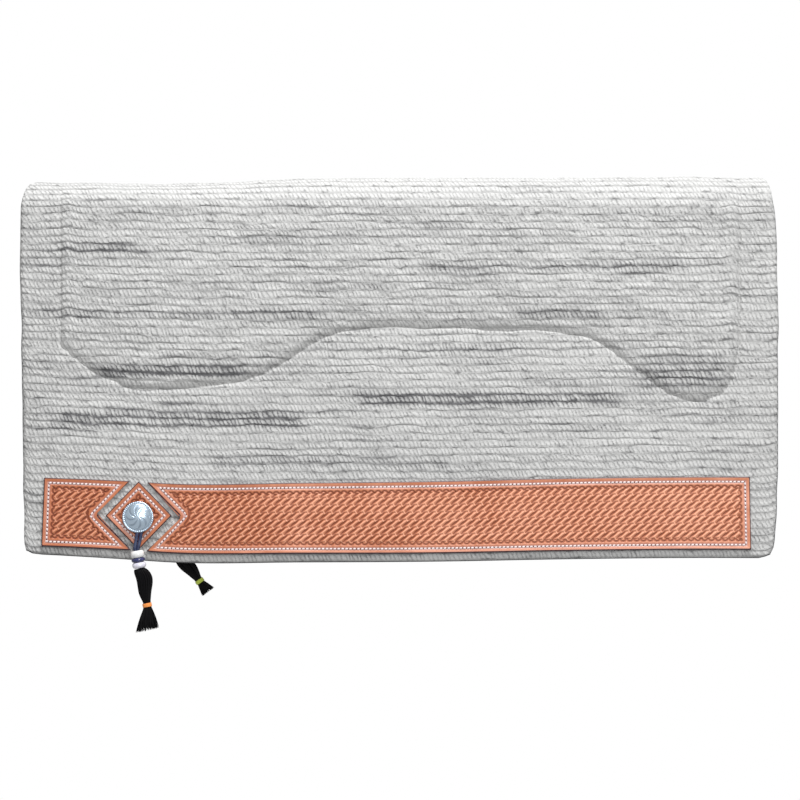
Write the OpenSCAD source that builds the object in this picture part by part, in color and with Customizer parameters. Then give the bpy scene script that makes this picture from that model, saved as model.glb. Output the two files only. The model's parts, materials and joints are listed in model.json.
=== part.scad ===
// Woven saddle pad, folded over a rail: a wool cover over felt with a sewn
// contour panel, tooled wear leathers and a beaded tassel on each side.
// X runs along the spine from the front end (-X) to the rear end (+X), the near
// side faces -Y, and Z is up. The origin is on the rail's axis at mid length.

/* [Pad] */
// Length along the spine
pad_len = 787; // [600:1:950]
// Drop of each flap below the rail's axis, at mid length
flap_drop = 370; // [300:1:460]
// How much lower the bottom edge is at mid length than at its ends
edge_bow = 7; // [0:0.5:20]
// Radius of the lower corners
corner_r = 14; // [6:1:40]

/* [Layers] */
// Radius of the rail that the pad hangs over
rail_r = 10; // [8:0.5:25]
// Thickness of the fleece lining against the rail or the horse
lining_t = 4; // [2:0.5:10]
// Thickness of the base felt
felt_t = 8; // [4:0.5:16]
// Thickness of the insert under the contour panel
insert_t = 5; // [2:0.5:12]
// Thickness of the woven cover over the insert
panel_t = 5; // [3:0.5:10]
// Thickness of the woven cover along the border
border_t = 6; // [3:0.5:10]
// How far the lining stops short of the pad's edges
lining_inset = 2; // [0:0.5:10]
// Clearance between neighbouring layers
layer_gap = 0.1; // [0.05:0.05:0.5]

/* [Contour seam] */
// From the front end to the upright seam
seam_front = 39; // [25:1:60]
// From the rear end to the upright seam
seam_rear = 38; // [25:1:60]
// Drop of the seam where it leaves both upright runs
seam_shoulder = 143; // [120:1:160]
// Lowest drop of the front lobe
front_lobe_drop = 188; // [165:1:205]
// Drop of the seam at the waist between the lobes
waist_drop = 124; // [90:1:140]
// Lowest drop of the rear lobe
rear_lobe_drop = 200; // [165:1:205]
// Width of the cover's wall between the seam and the insert
seam_wall = 5; // [3:0.5:12]

/* [Fold] */
// Angle of each of the three curved parts between two fold lines
fold_angle = 45; // [45:1:45]
// Clearance between two parts at a fold line
fold_gap = 0.1; // [0.05:0.05:0.5]

/* [Wear leathers] */
// Height of the leather strip
strip_h = 76; // [50:1:90]
// Thickness of the leather
leather_t = 3.2; // [2:0.2:5]
// From the pad's bottom edge up to the strip
strip_up = 7.5; // [3:0.5:20]
// From the pad's front end to the strip
strip_front = 21; // [10:1:40]
// From the pad's rear end to the strip
strip_rear = 27; // [10:1:40]
// From the pad's front end to the middle of the diamond
diamond_x = 121; // [90:1:160]
// Half of the diamond's width
diamond_w = 34.3; // [24:0.1:45]
// Half of the diamond's height
diamond_h = 35.5; // [24:0.1:45]
// Distance along X from the diamond to the notch beside it
diamond_gap = 9.4; // [5:0.1:15]

/* [Concho] */
// Radius of the concho
concho_r = 16.3; // [12:0.1:22]
// Thickness of the concho's rim
concho_rim = 1.4; // [1:0.1:3]
// Height of the dome above the rim
dome_h = 4; // [2:0.1:7]
// Radius of the screw post
post_r = 2.4; // [1.5:0.1:3.5]
// Radius of the backplate that the post is screwed to
backplate_r = 9; // [6:0.5:12]
// Thickness of the backplate
backplate_t = 2; // [1:0.1:3]
// Clearance round the post, and beside what moves
run_gap = 0.3; // [0.2:0.05:0.5]

/* [Tassel] */
// Width of the thong
thong_w = 6.3; // [4:0.1:8]
// Thickness of the thong
thong_t = 2.2; // [1.5:0.1:3]
// Length of the thong from the post to the beads
thong_len = 35; // [28:0.5:45]
// Radius of the thong's round part inside the beads
core_r = 1.6; // [1:0.1:2.2]
// Radius of the beads
bead_r = 7.3; // [5:0.1:9]
// Height of the top bead
bead_top_h = 7.4; // [4:0.1:10]
// Height of the middle bead
bead_middle_h = 4.6; // [3:0.1:8]
// Height of the bottom bead
bead_bottom_h = 6.2; // [4:0.1:10]
// Radius of the horsehair where it bulges below the beads
hair_bulge_r = 8; // [6:0.1:10]
// Radius of the horsehair at its tied waist
hair_waist_r = 3.6; // [2.5:0.1:5]
// Radius of the horsehair's flared end
hair_end_r = 13; // [9:0.1:16]
// Length of the horsehair above the tie band
hair_upper = 37; // [28:0.5:50]
// Length of the horsehair below the tie band
hair_lower = 24; // [15:0.5:50]
// Height of the tie band
band_h = 4; // [2:0.5:8]
// Thickness of the tie band
band_t = 1.3; // [0.8:0.1:2]
// Resting angle of the near tassel, towards the rear
near_angle = 0; // [-30:0.5:50]
// Resting angle of the off tassel, towards the rear
off_angle = 38.5; // [-30:0.5:50]

/* [Hidden] */
$fn = 64;

front = -pad_len / 2;
rear = pad_len / 2;

// Radii of the layers round the rail; on a flap they are distances from the middle.
lining_r = rail_r + lining_t;
felt_r = lining_r + felt_t;
insert_r = felt_r + insert_t;
panel_r = insert_r + panel_t;
border_r = felt_r + border_t;
leather_r = border_r + leather_t;
reach = panel_r + 10;

// Fold lines, as angles from straight up.
first_fold = fold_angle / 2;
second_fold = first_fold + fold_angle;

// The concho's middle, and how far its parts stand out from the middle plane.
concho_x = front + diamond_x;
thong_r = leather_r + run_gap;
concho_back = thong_r + thong_t + run_gap;
tassel_r = leather_r + max(bead_r, hair_bulge_r) + 2 * run_gap;
thread_depth = concho_rim + dome_h / 2;
pocket_r = backplate_r + run_gap;
pocket_bottom = felt_r - backplate_t - 2 * layer_gap;
diamond_z = strip_z(concho_x) + strip_h / 2;

// Leans of the near tassel's thong, beads and hair, and of the off one's, in degrees to the rear.
near_leans = [-2, 11, 2.5];
off_leans = [6.5, -8, -1.2];
bead_start = 1.2;
bead_stack = bead_top_h + bead_middle_h + bead_bottom_h + 2 * layer_gap;
hair_start = bead_start + bead_stack + run_gap;
core_in_hair = 6;
hair_top_r = 4.5;

// Height of the bottom edge, and of the strip's lower edge, at a place along X.
function edge_z(x) = edge_bow * pow(2 * x / pad_len, 2) - flap_drop;
function strip_z(x) = edge_z(x) + strip_up;

// Evenly spaced values from a to b, both included.
function steps(a, b, n) = [for (i = [0 : n]) a + (b - a) * i / n];

// A point between p1 and p2 on a smooth curve through four neighbouring points.
function spline(p0, p1, p2, p3, t) =
    0.5 * (2 * p1 + (p2 - p0) * t + (2 * p0 - 5 * p1 + 4 * p2 - p3) * t * t
        + (3 * p1 - p0 - 3 * p2 + p3) * t * t * t);

// A smooth curve through a list of points, with n pieces between two of them.
function smooth(pts, n) = [
    for (i = [0 : len(pts) - 2])
        for (k = [0 : n - 1])
            spline(pts[max(i - 1, 0)], pts[i], pts[i + 1], pts[min(i + 2, len(pts) - 1)], k / n),
    pts[len(pts) - 1]
];

// The contour seam below its upright runs, from the front to the rear.
seam_keys = [
    [front + seam_front, -seam_shoulder],
    [front + seam_front + 9, -seam_shoulder - 8],
    [front + 78, -front_lobe_drop + 14],
    [front + 114, -front_lobe_drop],
    [front + 186, -front_lobe_drop + 3],
    [front + 252, -front_lobe_drop + 18],
    [front + 320, -waist_drop - 9],
    [front + 362, -waist_drop],
    [rear - 290 + min(0, pad_len - 680), -waist_drop - 2],
    [rear - 195, -waist_drop - 12],
    [rear - 142, -rear_lobe_drop + 29],
    [rear - 91, -rear_lobe_drop],
    [rear - 54, -rear_lobe_drop + 12],
    [rear - seam_rear - 5, -seam_shoulder - 26],
    [rear - seam_rear, -seam_shoulder]
];

// The seam's outline, drawn in by a wall.
function panel_outline(wall) = concat(
    [[rear - seam_rear - wall, reach], [front + seam_front + wall, reach]],
    [for (p = smooth(seam_keys, 4)) [p[0] * (1 - wall / rear), p[1] + wall]]
);

// The outline of a whole flap, drawn in by a margin.
function flap_outline(margin) = let (
    left = front + margin,
    right = rear - margin,
    arc_z = edge_z(left + corner_r) + margin + corner_r
) concat(
    [[right, reach], [left, reach]],
    [for (a = steps(180, 270, 8)) [left + corner_r + corner_r * cos(a), arc_z + corner_r * sin(a)]],
    [for (x = steps(left + corner_r, right - corner_r, 20)) if (abs(x - left - corner_r) > 1
        && abs(x - right + corner_r) > 1) [x, edge_z(x) + margin]],
    [for (a = steps(270, 360, 8)) [right - corner_r + corner_r * cos(a), arc_z + corner_r * sin(a)]]
);

// Takes the near side's parts to the off side.
module off_side() { mirror([0, 1, 0]) children(); }

// Turns a flat drawing of (y, z) into a solid from x0 to x1.
module along_x(x0, x1) { translate([x0, 0, 0]) rotate([90, 0, 90]) linear_extrude(x1 - x0) children(); }

// Turns a drawing of (x, z) into a slab on the near side, between two distances out.
module slab(r0, r1) { translate([0, -r0, 0]) rotate([90, 0, 0]) linear_extrude(r1 - r0) children(); }

// Puts a part that is turned about +Z on the near face at the concho, facing out.
module at_concho(r) { translate([concho_x, -r, diamond_z]) rotate([90, 0, 0]) children(); }

// The wedge between two angles from straight up towards the near side.
module wedge(a0, a1, apex) {
    polygon([apex, for (a = [a0, (a0 + a1) / 2, a1]) apex + 3 * reach * [-sin(a), cos(a)]]);
}

// The flat section of one layer between two fold lines.
module bend_section(r0, r1, a0, a1) {
    middle = (a0 + a1) / 2;
    inset = fold_gap / 2 / sin((a1 - a0) / 2);
    intersection() {
        difference() { circle(r1); circle(r0); }
        wedge(a0, a1, inset * [-sin(middle), cos(middle)]);
    }
}

// The flat section of one layer from the second fold line down the flap.
module flap_section(r0, r1) {
    intersection() {
        difference() { circle(r1); circle(r0); }
        wedge(second_fold, 90, [-fold_gap / 2 / cos(second_fold), 0]);
    }
    translate([-r1, -flap_drop]) square([r1 - r0, flap_drop]);
}

// One curved part's layers, between two fold lines.
module bend_cover(a0, a1) {
    color([0.74, 0.73, 0.72]) difference() {
        union() {
            along_x(front, rear) bend_section(felt_r, border_r, a0, a1);
            along_x(front + seam_front, rear - seam_rear) bend_section(felt_r, panel_r, a0, a1);
        }
        along_x(front + seam_front + seam_wall, rear - seam_rear - seam_wall)
            difference() { circle(insert_r); circle(felt_r - 1); }
    }
}

module bend_insert(a0, a1) {
    color([0.62, 0.6, 0.58]) along_x(front + seam_front + seam_wall + layer_gap,
        rear - seam_rear - seam_wall - layer_gap)
        bend_section(felt_r, insert_r - layer_gap, a0, a1);
}

module bend_felt(a0, a1) {
    color([0.5, 0.49, 0.48]) along_x(front, rear)
        bend_section(lining_r, felt_r - layer_gap, a0, a1);
}

module bend_lining(a0, a1) {
    color([0.88, 0.85, 0.78]) along_x(front + lining_inset, rear - lining_inset)
        bend_section(rail_r, lining_r - layer_gap, a0, a1);
}

// A whole flap's layers, on the near side.
module flap_cover() {
    color([0.74, 0.73, 0.72]) difference() {
        union() {
            intersection() {
                along_x(front, rear) flap_section(felt_r, border_r);
                slab(0, reach) polygon(flap_outline(0));
            }
            intersection() {
                along_x(front, rear) flap_section(felt_r, panel_r);
                slab(0, reach) polygon(panel_outline(0));
            }
        }
        intersection() {
            along_x(front, rear) flap_section(felt_r - 1, insert_r);
            slab(0, reach) polygon(panel_outline(seam_wall));
            translate([front, -reach, -flap_drop]) cube([pad_len, reach, flap_drop + reach]);
        }
        fold_trim(panel_outline(seam_wall));
        at_concho(0) cylinder(r = post_r + run_gap, h = reach);
    }
}

// Clears the insert's room right up to the flap's fold face.
module fold_trim(outline) {
    intersection() {
        along_x(front, rear) difference() { circle(insert_r); circle(felt_r - 1); }
        slab(0, reach) polygon(outline);
        translate([front, -reach, 0]) cube([pad_len, reach, reach]);
    }
}

module flap_insert() {
    color([0.62, 0.6, 0.58]) intersection() {
        along_x(front, rear) flap_section(felt_r, insert_r - layer_gap);
        slab(0, reach) polygon(panel_outline(seam_wall + layer_gap));
    }
}

module flap_felt() {
    color([0.5, 0.49, 0.48]) difference() {
        intersection() {
            along_x(front, rear) flap_section(lining_r, felt_r - layer_gap);
            slab(0, reach) polygon(flap_outline(0));
        }
        at_concho(pocket_bottom) cylinder(r = pocket_r, h = reach);
    }
}

module flap_lining() {
    color([0.88, 0.85, 0.78]) intersection() {
        along_x(front, rear) flap_section(rail_r, lining_r - layer_gap);
        slab(0, reach) polygon(flap_outline(lining_inset));
    }
}

// The drawing of the leather strip between two places along X.
module strip_drawing(x0, x1) {
    low = [for (x = steps(x0, x1, 16)) [x, strip_z(x)]];
    high = [for (x = steps(x1, x0, 16)) [x, strip_z(x) + strip_h]];
    polygon(concat(low, high));
}

// A diamond about the concho, with a margin along X.
module diamond_drawing(margin) {
    w = diamond_w + margin;
    h = diamond_h * w / diamond_w;
    translate([concho_x, diamond_z]) polygon([[-w, 0], [0, -h], [w, 0], [0, h]]);
}

module wear_leather_front() {
    color([0.8, 0.5, 0.35]) slab(border_r, leather_r) difference() {
        strip_drawing(front + strip_front, concho_x - diamond_gap);
        diamond_drawing(diamond_gap);
    }
}

module wear_leather_rear() {
    color([0.8, 0.5, 0.35]) slab(border_r, leather_r) difference() {
        strip_drawing(concho_x + diamond_gap, rear - strip_rear);
        diamond_drawing(diamond_gap);
    }
}

module wear_leather_diamond() {
    color([0.78, 0.47, 0.32]) difference() {
        slab(border_r, leather_r) diamond_drawing(0);
        at_concho(0) cylinder(r = post_r + run_gap, h = reach);
    }
}

// A domed silver concho with a threaded hole in its back.
module concho() {
    dome_r = (concho_r * concho_r + dome_h * dome_h) / (2 * dome_h);
    color([0.75, 0.78, 0.82]) at_concho(concho_back) difference() {
        rotate_extrude() union() {
            square([concho_r, concho_rim]);
            translate([0, concho_rim]) intersection() {
                translate([0, dome_h - dome_r]) circle(dome_r, $fn = 240);
                square([concho_r, dome_h]);
            }
        }
        translate([0, 0, -1]) cylinder(r = post_r, h = 1 + thread_depth);
    }
}

module concho_post() {
    length = concho_back + thread_depth - pocket_bottom - layer_gap;
    color([0.6, 0.61, 0.63]) at_concho(pocket_bottom + layer_gap) cylinder(r = post_r, h = length);
}

module concho_backplate() {
    color([0.6, 0.61, 0.63]) at_concho(pocket_bottom + layer_gap) difference() {
        cylinder(r = backplate_r, h = backplate_t);
        translate([0, 0, -1]) cylinder(r = post_r, h = backplate_t + 2);
    }
}

// The leans of the tassel that rests at an angle.
function leans(angle) = angle == near_angle ? near_leans : off_leans;

// The tassel's frames: at the post, along the beads and along the hair.
module tassel_frame(angle) { translate([concho_x, 0, diamond_z]) rotate([0, -angle, 0]) children(); }

module bead_frame(angle) {
    tassel_frame(angle) rotate([0, -leans(angle)[0], 0]) translate([0, -tassel_r, -thong_len])
        rotate([0, -leans(angle)[1], 0]) children();
}

module hair_frame(angle) {
    bead_frame(angle) translate([0, 0, -hair_start]) rotate([0, -leans(angle)[2], 0]) children();
}

// A thong with an eye round the post, a flat run and a round core for the beads.
module thong(angle) {
    eye_r = post_r + run_gap + thong_w / 2;
    out = tassel_r - thong_t / 2;
    bend = concho_r + 3;
    color([0.13, 0.14, 0.26]) difference() {
        union() {
            tassel_frame(angle) translate([0, -thong_r, 0]) rotate([90, 0, 0])
                cylinder(r = eye_r, h = thong_t);
            tassel_frame(angle) rotate([0, -leans(angle)[0], 0]) along_x(-thong_w / 2, thong_w / 2) polygon([
                [-thong_r, -post_r], [-thong_r - thong_t, -post_r], [-thong_r - thong_t, -bend],
                [-out - thong_t, -thong_len + 3], [-out - thong_t, -thong_len],
                [-out, -thong_len], [-out, -thong_len + 3], [-thong_r, -bend - 1]
            ]);
            bead_frame(angle) translate([0, 0, -hair_start - core_in_hair])
                cylinder(r = core_r, h = hair_start + core_in_hair + 2);
        }
        tassel_frame(angle) rotate([90, 0, 0]) cylinder(r = post_r + run_gap, h = reach);
    }
}

// A barrel bead whose top is at a distance down the bead frame.
module bead(angle, top, height) {
    bulge = 1.4;
    arc_r = height * height / (8 * bulge) + bulge / 2;
    bead_frame(angle) translate([0, 0, -top - height / 2]) rotate_extrude() intersection() {
        translate([core_r + layer_gap, -height / 2]) square([bead_r - core_r - layer_gap, height]);
        union() {
            translate([bead_r - arc_r, 0]) circle(arc_r);
            translate([0, -height / 2]) square([bead_r - arc_r, height]);
        }
    }
}

module bead_top(angle) {
    color([0.93, 0.93, 0.92]) bead(angle, bead_start, bead_top_h);
}

module bead_middle(angle) {
    color([0.1, 0.11, 0.25]) bead(angle, bead_start + bead_top_h + layer_gap, bead_middle_h);
}

module bead_bottom(angle) {
    color([0.85, 0.83, 0.9])
        bead(angle, bead_start + bead_top_h + bead_middle_h + 2 * layer_gap, bead_bottom_h);
}

// Horsehair with a bulge, a straight tied waist and a flared end, and a socket for the core.
module horsehair(angle) {
    waist = hair_upper + band_h;
    upper = smooth([[hair_top_r, 0], [hair_bulge_r - 1, -4], [hair_bulge_r, -hair_upper * 0.3],
        [hair_waist_r + 2, -hair_upper * 0.7], [hair_waist_r, -hair_upper + 1]], 3);
    lower = smooth([[hair_waist_r, -waist - 1], [hair_waist_r + 3.5, -waist - hair_lower * 0.45],
        [hair_end_r, -waist - hair_lower]], 3);
    color([0.08, 0.08, 0.09]) difference() {
        hair_frame(angle) rotate_extrude() polygon(concat([[0, 0]], upper, lower,
            [[0, -waist - hair_lower]]));
        bead_frame(angle) translate([0, 0, -hair_start - core_in_hair - run_gap])
            cylinder(r = core_r + run_gap, h = core_in_hair + 2);
    }
}

module tie_band(tint, angle) {
    color(tint) hair_frame(angle) translate([0, 0, -hair_upper - band_h]) difference() {
        cylinder(r = hair_waist_r + run_gap + band_t, h = band_h);
        translate([0, 0, -1]) cylinder(r = hair_waist_r + run_gap, h = band_h + 2);
    }
}

orange = [0.85, 0.4, 0.15];
green = [0.62, 0.68, 0.2];

bend_cover(-first_fold, first_fold);  // spine_cover
bend_insert(-first_fold, first_fold);  // spine_insert
bend_felt(-first_fold, first_fold);  // spine_felt
bend_lining(-first_fold, first_fold);  // spine_lining

bend_cover(first_fold, second_fold);  // near_bend_cover
bend_insert(first_fold, second_fold);  // near_bend_insert
bend_felt(first_fold, second_fold);  // near_bend_felt
bend_lining(first_fold, second_fold);  // near_bend_lining

off_side() bend_cover(first_fold, second_fold);  // off_bend_cover
off_side() bend_insert(first_fold, second_fold);  // off_bend_insert
off_side() bend_felt(first_fold, second_fold);  // off_bend_felt
off_side() bend_lining(first_fold, second_fold);  // off_bend_lining

flap_cover();  // near_flap_cover
flap_insert();  // near_flap_insert
flap_felt();  // near_flap_felt
flap_lining();  // near_flap_lining

off_side() flap_cover();  // off_flap_cover
off_side() flap_insert();  // off_flap_insert
off_side() flap_felt();  // off_flap_felt
off_side() flap_lining();  // off_flap_lining

wear_leather_front();  // near_wear_leather_front
wear_leather_diamond();  // near_wear_leather_diamond
wear_leather_rear();  // near_wear_leather_rear
off_side() wear_leather_front();  // off_wear_leather_front
off_side() wear_leather_diamond();  // off_wear_leather_diamond
off_side() wear_leather_rear();  // off_wear_leather_rear

concho();  // near_concho
concho_post();  // near_concho_post
concho_backplate();  // near_concho_backplate
off_side() concho();  // off_concho
off_side() concho_post();  // off_concho_post
off_side() concho_backplate();  // off_concho_backplate

thong(near_angle);  // near_thong
bead_top(near_angle);  // near_bead_top
bead_middle(near_angle);  // near_bead_middle
bead_bottom(near_angle);  // near_bead_bottom
horsehair(near_angle);  // near_horsehair
tie_band(orange, near_angle);  // near_tie_band

off_side() thong(off_angle);  // off_thong
off_side() bead_top(off_angle);  // off_bead_top
off_side() bead_middle(off_angle);  // off_bead_middle
off_side() bead_bottom(off_angle);  // off_bead_bottom
off_side() horsehair(off_angle);  // off_horsehair
off_side() tie_band(green, off_angle);  // off_tie_band
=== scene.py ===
"""Dresses the folded saddle pad: woven wool, felt, fleece, tooled leathers, conchos and tassels.

Lengths are in metres. X runs along the spine from the front end to the rear end, the near side
faces -Y and Z is up. A place on the cloth is given by x and by its run, the length of cloth from
the top of the fold down to it.
"""

from __future__ import annotations

import json
import logging
import math
from dataclasses import dataclass
from enum import Enum
from typing import Callable, ClassVar, Sequence, Union

import bpy
import numpy as np
from mathutils import Matrix, Vector

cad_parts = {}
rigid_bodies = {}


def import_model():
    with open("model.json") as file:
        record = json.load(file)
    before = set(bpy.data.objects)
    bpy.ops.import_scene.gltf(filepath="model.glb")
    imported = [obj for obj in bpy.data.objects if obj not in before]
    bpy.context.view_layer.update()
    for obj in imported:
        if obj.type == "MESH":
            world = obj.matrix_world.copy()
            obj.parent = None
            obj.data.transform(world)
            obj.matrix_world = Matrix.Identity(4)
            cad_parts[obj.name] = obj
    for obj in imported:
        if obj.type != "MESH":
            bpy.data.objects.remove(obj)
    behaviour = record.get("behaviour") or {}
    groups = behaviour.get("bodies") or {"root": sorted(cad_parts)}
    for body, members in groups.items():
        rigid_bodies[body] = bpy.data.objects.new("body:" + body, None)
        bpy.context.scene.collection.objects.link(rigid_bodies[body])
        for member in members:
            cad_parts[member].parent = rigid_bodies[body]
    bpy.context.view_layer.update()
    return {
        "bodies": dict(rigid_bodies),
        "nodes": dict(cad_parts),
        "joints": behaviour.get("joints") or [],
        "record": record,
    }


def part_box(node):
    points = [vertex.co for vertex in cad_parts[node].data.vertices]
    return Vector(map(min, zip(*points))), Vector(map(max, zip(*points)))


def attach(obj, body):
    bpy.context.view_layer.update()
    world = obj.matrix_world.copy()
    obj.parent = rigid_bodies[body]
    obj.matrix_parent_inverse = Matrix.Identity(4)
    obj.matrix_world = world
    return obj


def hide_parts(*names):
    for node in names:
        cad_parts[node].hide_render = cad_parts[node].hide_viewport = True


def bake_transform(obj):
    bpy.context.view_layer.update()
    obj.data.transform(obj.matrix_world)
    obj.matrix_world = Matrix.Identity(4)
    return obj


MM = 0.001
Array = np.ndarray
Piece = bpy.types.Object
Material = bpy.types.Material
Colour = tuple[float, float, float]
Pair = tuple[float, float]
log = logging.getLogger("saddle_pad")


class Side(Enum):
    """The horse's near (left) side and its off (right) side."""

    NEAR = "near"
    OFF = "off"

    @property
    def out(self) -> float:
        """The sign of Y that points out of this side."""
        return -1.0 if self is Side.NEAR else 1.0

    def of(self, name: str) -> str:
        """This side's name for a piece, a node or a body."""
        return f"{self.value}_{name}"


# ---------------------------------------------------------------- shader maths


class Socket:
    """A node's output that takes part in Python expressions; each operator adds a Math node."""

    def __init__(self, graph: "Graph", link: bpy.types.NodeSocket) -> None:
        """Wraps a link of a graph."""
        self.graph = graph
        self.link = link

    def math(self, operation: str, *others: "Value") -> "Socket":
        """Adds a Math node with this socket as its first value."""
        return self.graph.math(operation, self, *others)


def operator(operation: str, swapped: bool = False) -> Callable[[Socket, "Value"], Socket]:
    """A Python operator that adds a Math node, with the socket second where it is swapped.

    Args:
        operation: The Math node's operation.
        swapped: Whether the socket goes second.

    Returns:
        The operator.
    """
    def work(socket: Socket, other: "Value") -> Socket:
        """Adds the node."""
        return socket.graph.math(operation, *((other, socket) if swapped else (socket, other)))
    return work


for operation_name, method_names in {"ADD": ("__add__", "__radd__"), "MULTIPLY": ("__mul__", "__rmul__"),
                                     "SUBTRACT": ("__sub__",), "DIVIDE": ("__truediv__",)}.items():
    for method_name in method_names:
        setattr(Socket, method_name, operator(operation_name))
Socket.__rsub__ = operator("SUBTRACT", swapped=True)

Value = Union[float, Socket]
Field = Union[Array, Socket]


class Graph:
    """A material's node tree, with one method for every kind of node."""

    def __init__(self, name: str) -> None:
        """Starts an empty material.

        Args:
            name: The material's name.
        """
        self.material = bpy.data.materials.new(name)
        self.material.use_nodes = True
        self.tree = self.material.node_tree
        self.tree.nodes.clear()

    def node(self, kind: str, settings: dict | None = None, values: dict | Sequence = (),
             output: int | str = 0) -> Socket:
        """Adds a node.

        Args:
            kind: The node's type.
            settings: Properties, set before the sockets; a ramp's stops go under "stops".
            values: Numbers, colours or sockets, by input name or in order.
            output: Which output to return.

        Returns:
            The chosen output.
        """
        made = self.tree.nodes.new(kind)
        for key, value in (settings or {}).items():
            if key == "stops":
                ramp = made.color_ramp
                while len(ramp.elements) < len(value):
                    ramp.elements.new(1.0)
                for stop, (place, colour) in zip(ramp.elements, value):
                    stop.position = place
                    stop.color = (*colour, 1.0)
            else:
                setattr(made, key, value)
        pairs = values.items() if isinstance(values, dict) else enumerate(values)
        for key, value in pairs:
            socket = made.inputs[key]
            if isinstance(value, Socket):
                self.tree.links.new(value.link, socket)
            elif isinstance(value, (int, float)):
                socket.default_value = float(value)
            else:
                socket.default_value = (*value, 1.0) if len(socket.default_value) == 4 else value
        return Socket(self, made.outputs[output])

    def math(self, operation: str, *values: Value) -> Socket:
        """Adds a Math node."""
        return self.node("ShaderNodeMath", {"operation": operation}, values)

    def uv(self, layer: str) -> tuple[Socket, Socket]:
        """The two coordinates of a UV map, as separate sockets."""
        both = self.node("ShaderNodeUVMap", {"uv_map": layer})
        return tuple(self.node("ShaderNodeSeparateXYZ", None, [both], axis) for axis in "XY")

    def attribute(self, name: str) -> Socket:
        """A number stored on the piece's own points."""
        return self.node("ShaderNodeAttribute", {"attribute_name": name}, (), "Fac")

    def place(self, scale: tuple[float, float, float] = (1, 1, 1)) -> Socket:
        """The object's own coordinates, stretched by a scale."""
        raw = self.node("ShaderNodeTexCoord", None, (), "Object")
        return self.node("ShaderNodeVectorMath", {"operation": "MULTIPLY"}, [raw, scale])

    def vector(self, x: Value, y: Value, z: Value = 0.0) -> Socket:
        """A vector from three values."""
        return self.node("ShaderNodeCombineXYZ", None, [x, y, z])

    def noise(self, where: Socket, scale: float, detail: float = 2.0, rough: float = 0.5) -> Socket:
        """A noise texture's value, about 0.5 on average."""
        return self.node("ShaderNodeTexNoise", None,
                         {"Vector": where, "Scale": scale, "Detail": detail, "Roughness": rough}, "Fac")

    def random(self, where: Socket) -> Socket:
        """An even random number for each whole-numbered place."""
        return self.node("ShaderNodeTexWhiteNoise", {"noise_dimensions": "3D"}, {"Vector": where}, "Value")

    def ramp(self, value: Value, low: float, high: float, to_low: float = 0.0,
             to_high: float = 1.0) -> Socket:
        """A smooth step from to_low to to_high as value goes from low to high."""
        return self.node("ShaderNodeMapRange", {"interpolation_type": "SMOOTHSTEP"},
                         [value, low, high, to_low, to_high])

    def mix(self, share: Value, a: Colour | Socket, b: Colour | Socket, blend: str = "MIX") -> Socket:
        """Mixes two colours."""
        return self.node("ShaderNodeMix", {"data_type": "RGBA", "blend_type": blend},
                         {0: share, 6: a, 7: b}, 2)

    def bump(self, height: Value, depth: float, strength: float = 1.0,
             under: Socket | None = None) -> Socket:
        """A Bump node.

        Args:
            height: The relief, from 0 to 1.
            depth: What a height of 1 stands for, in metres.
            strength: How strongly it shows.
            under: The normal of a coarser relief below it.

        Returns:
            The bent normal.
        """
        values: dict = {"Height": height, "Distance": depth, "Strength": strength}
        if under is not None:
            values["Normal"] = under
        return self.node("ShaderNodeBump", None, values)

    def finish(self, **inputs: Value | Colour) -> Material:
        """Ends the tree in a Principled shader.

        Args:
            **inputs: Its sockets, with underscores for spaces.

        Returns:
            The material.
        """
        values = {key.replace("_", " "): value for key, value in inputs.items()}
        shader = self.node("ShaderNodeBsdfPrincipled", None, values)
        out = self.tree.nodes.new("ShaderNodeOutputMaterial")
        self.tree.links.new(shader.link, out.inputs["Surface"])
        return self.material


# The next functions take arrays, for a mesh's own relief, or sockets, for the finish on it.


def either(operation: str, on_arrays: Callable, *values: Field | float) -> Field:
    """One operation: a Math node if the first value is a socket, or the same on arrays.

    Args:
        operation: The Math node's operation.
        on_arrays: What does the same on arrays.
        *values: Sockets, arrays or numbers.

    Returns:
        The result, of the first value's kind.
    """
    if isinstance(values[0], Socket):
        return values[0].math(operation, *values[1:])
    return on_arrays(*values)


def whole(value: Field) -> Field:
    """The whole part, rounded down."""
    return either("FLOOR", np.floor, value)


def part(value: Field) -> Field:
    """The part after the point."""
    return either("FRACT", lambda v: v - np.floor(v), value)


def wave(value: Field) -> Field:
    """The sine of whole turns."""
    return either("SINE", np.sin, value * (2 * math.pi))


def larger(a: Field, b: Field | float) -> Field:
    """The larger of two."""
    return either("MAXIMUM", np.maximum, a, b)


def smaller(a: Field, b: Field | float) -> Field:
    """The smaller of two."""
    return either("MINIMUM", np.minimum, a, b)


def unit(a: Field) -> Field:
    """The value kept between 0 and 1."""
    return smaller(larger(a, 0.0), 1.0)


def size(a: Field) -> Field:
    """The value without its sign."""
    return either("ABSOLUTE", np.abs, a)


def root(a: Field) -> Field:
    """The square root of what is above zero."""
    return either("SQRT", np.sqrt, larger(a, 0.0))


def ease(a: Field, low: float, high: float) -> Field:
    """A smooth step from 0 at low to 1 at high.

    Args:
        a: The values.
        low: Where the step starts.
        high: Where it ends.

    Returns:
        The step, of the values' kind.
    """
    if isinstance(a, Socket):
        return a.graph.ramp(a, low, high)
    t = np.clip((a - low) / (high - low), 0, 1)
    return t * t * (3 - 2 * t)


def hump(f: Field) -> Field:
    """A gentle hump over 0 to 1, highest in the middle."""
    return f * (1.0 - f) * 4.0


def dome(f: Field) -> Field:
    """A round hump over 0 to 1, high in the middle."""
    edge = f * 2.0 - 1.0
    return root(1.0 - edge * edge)


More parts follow.
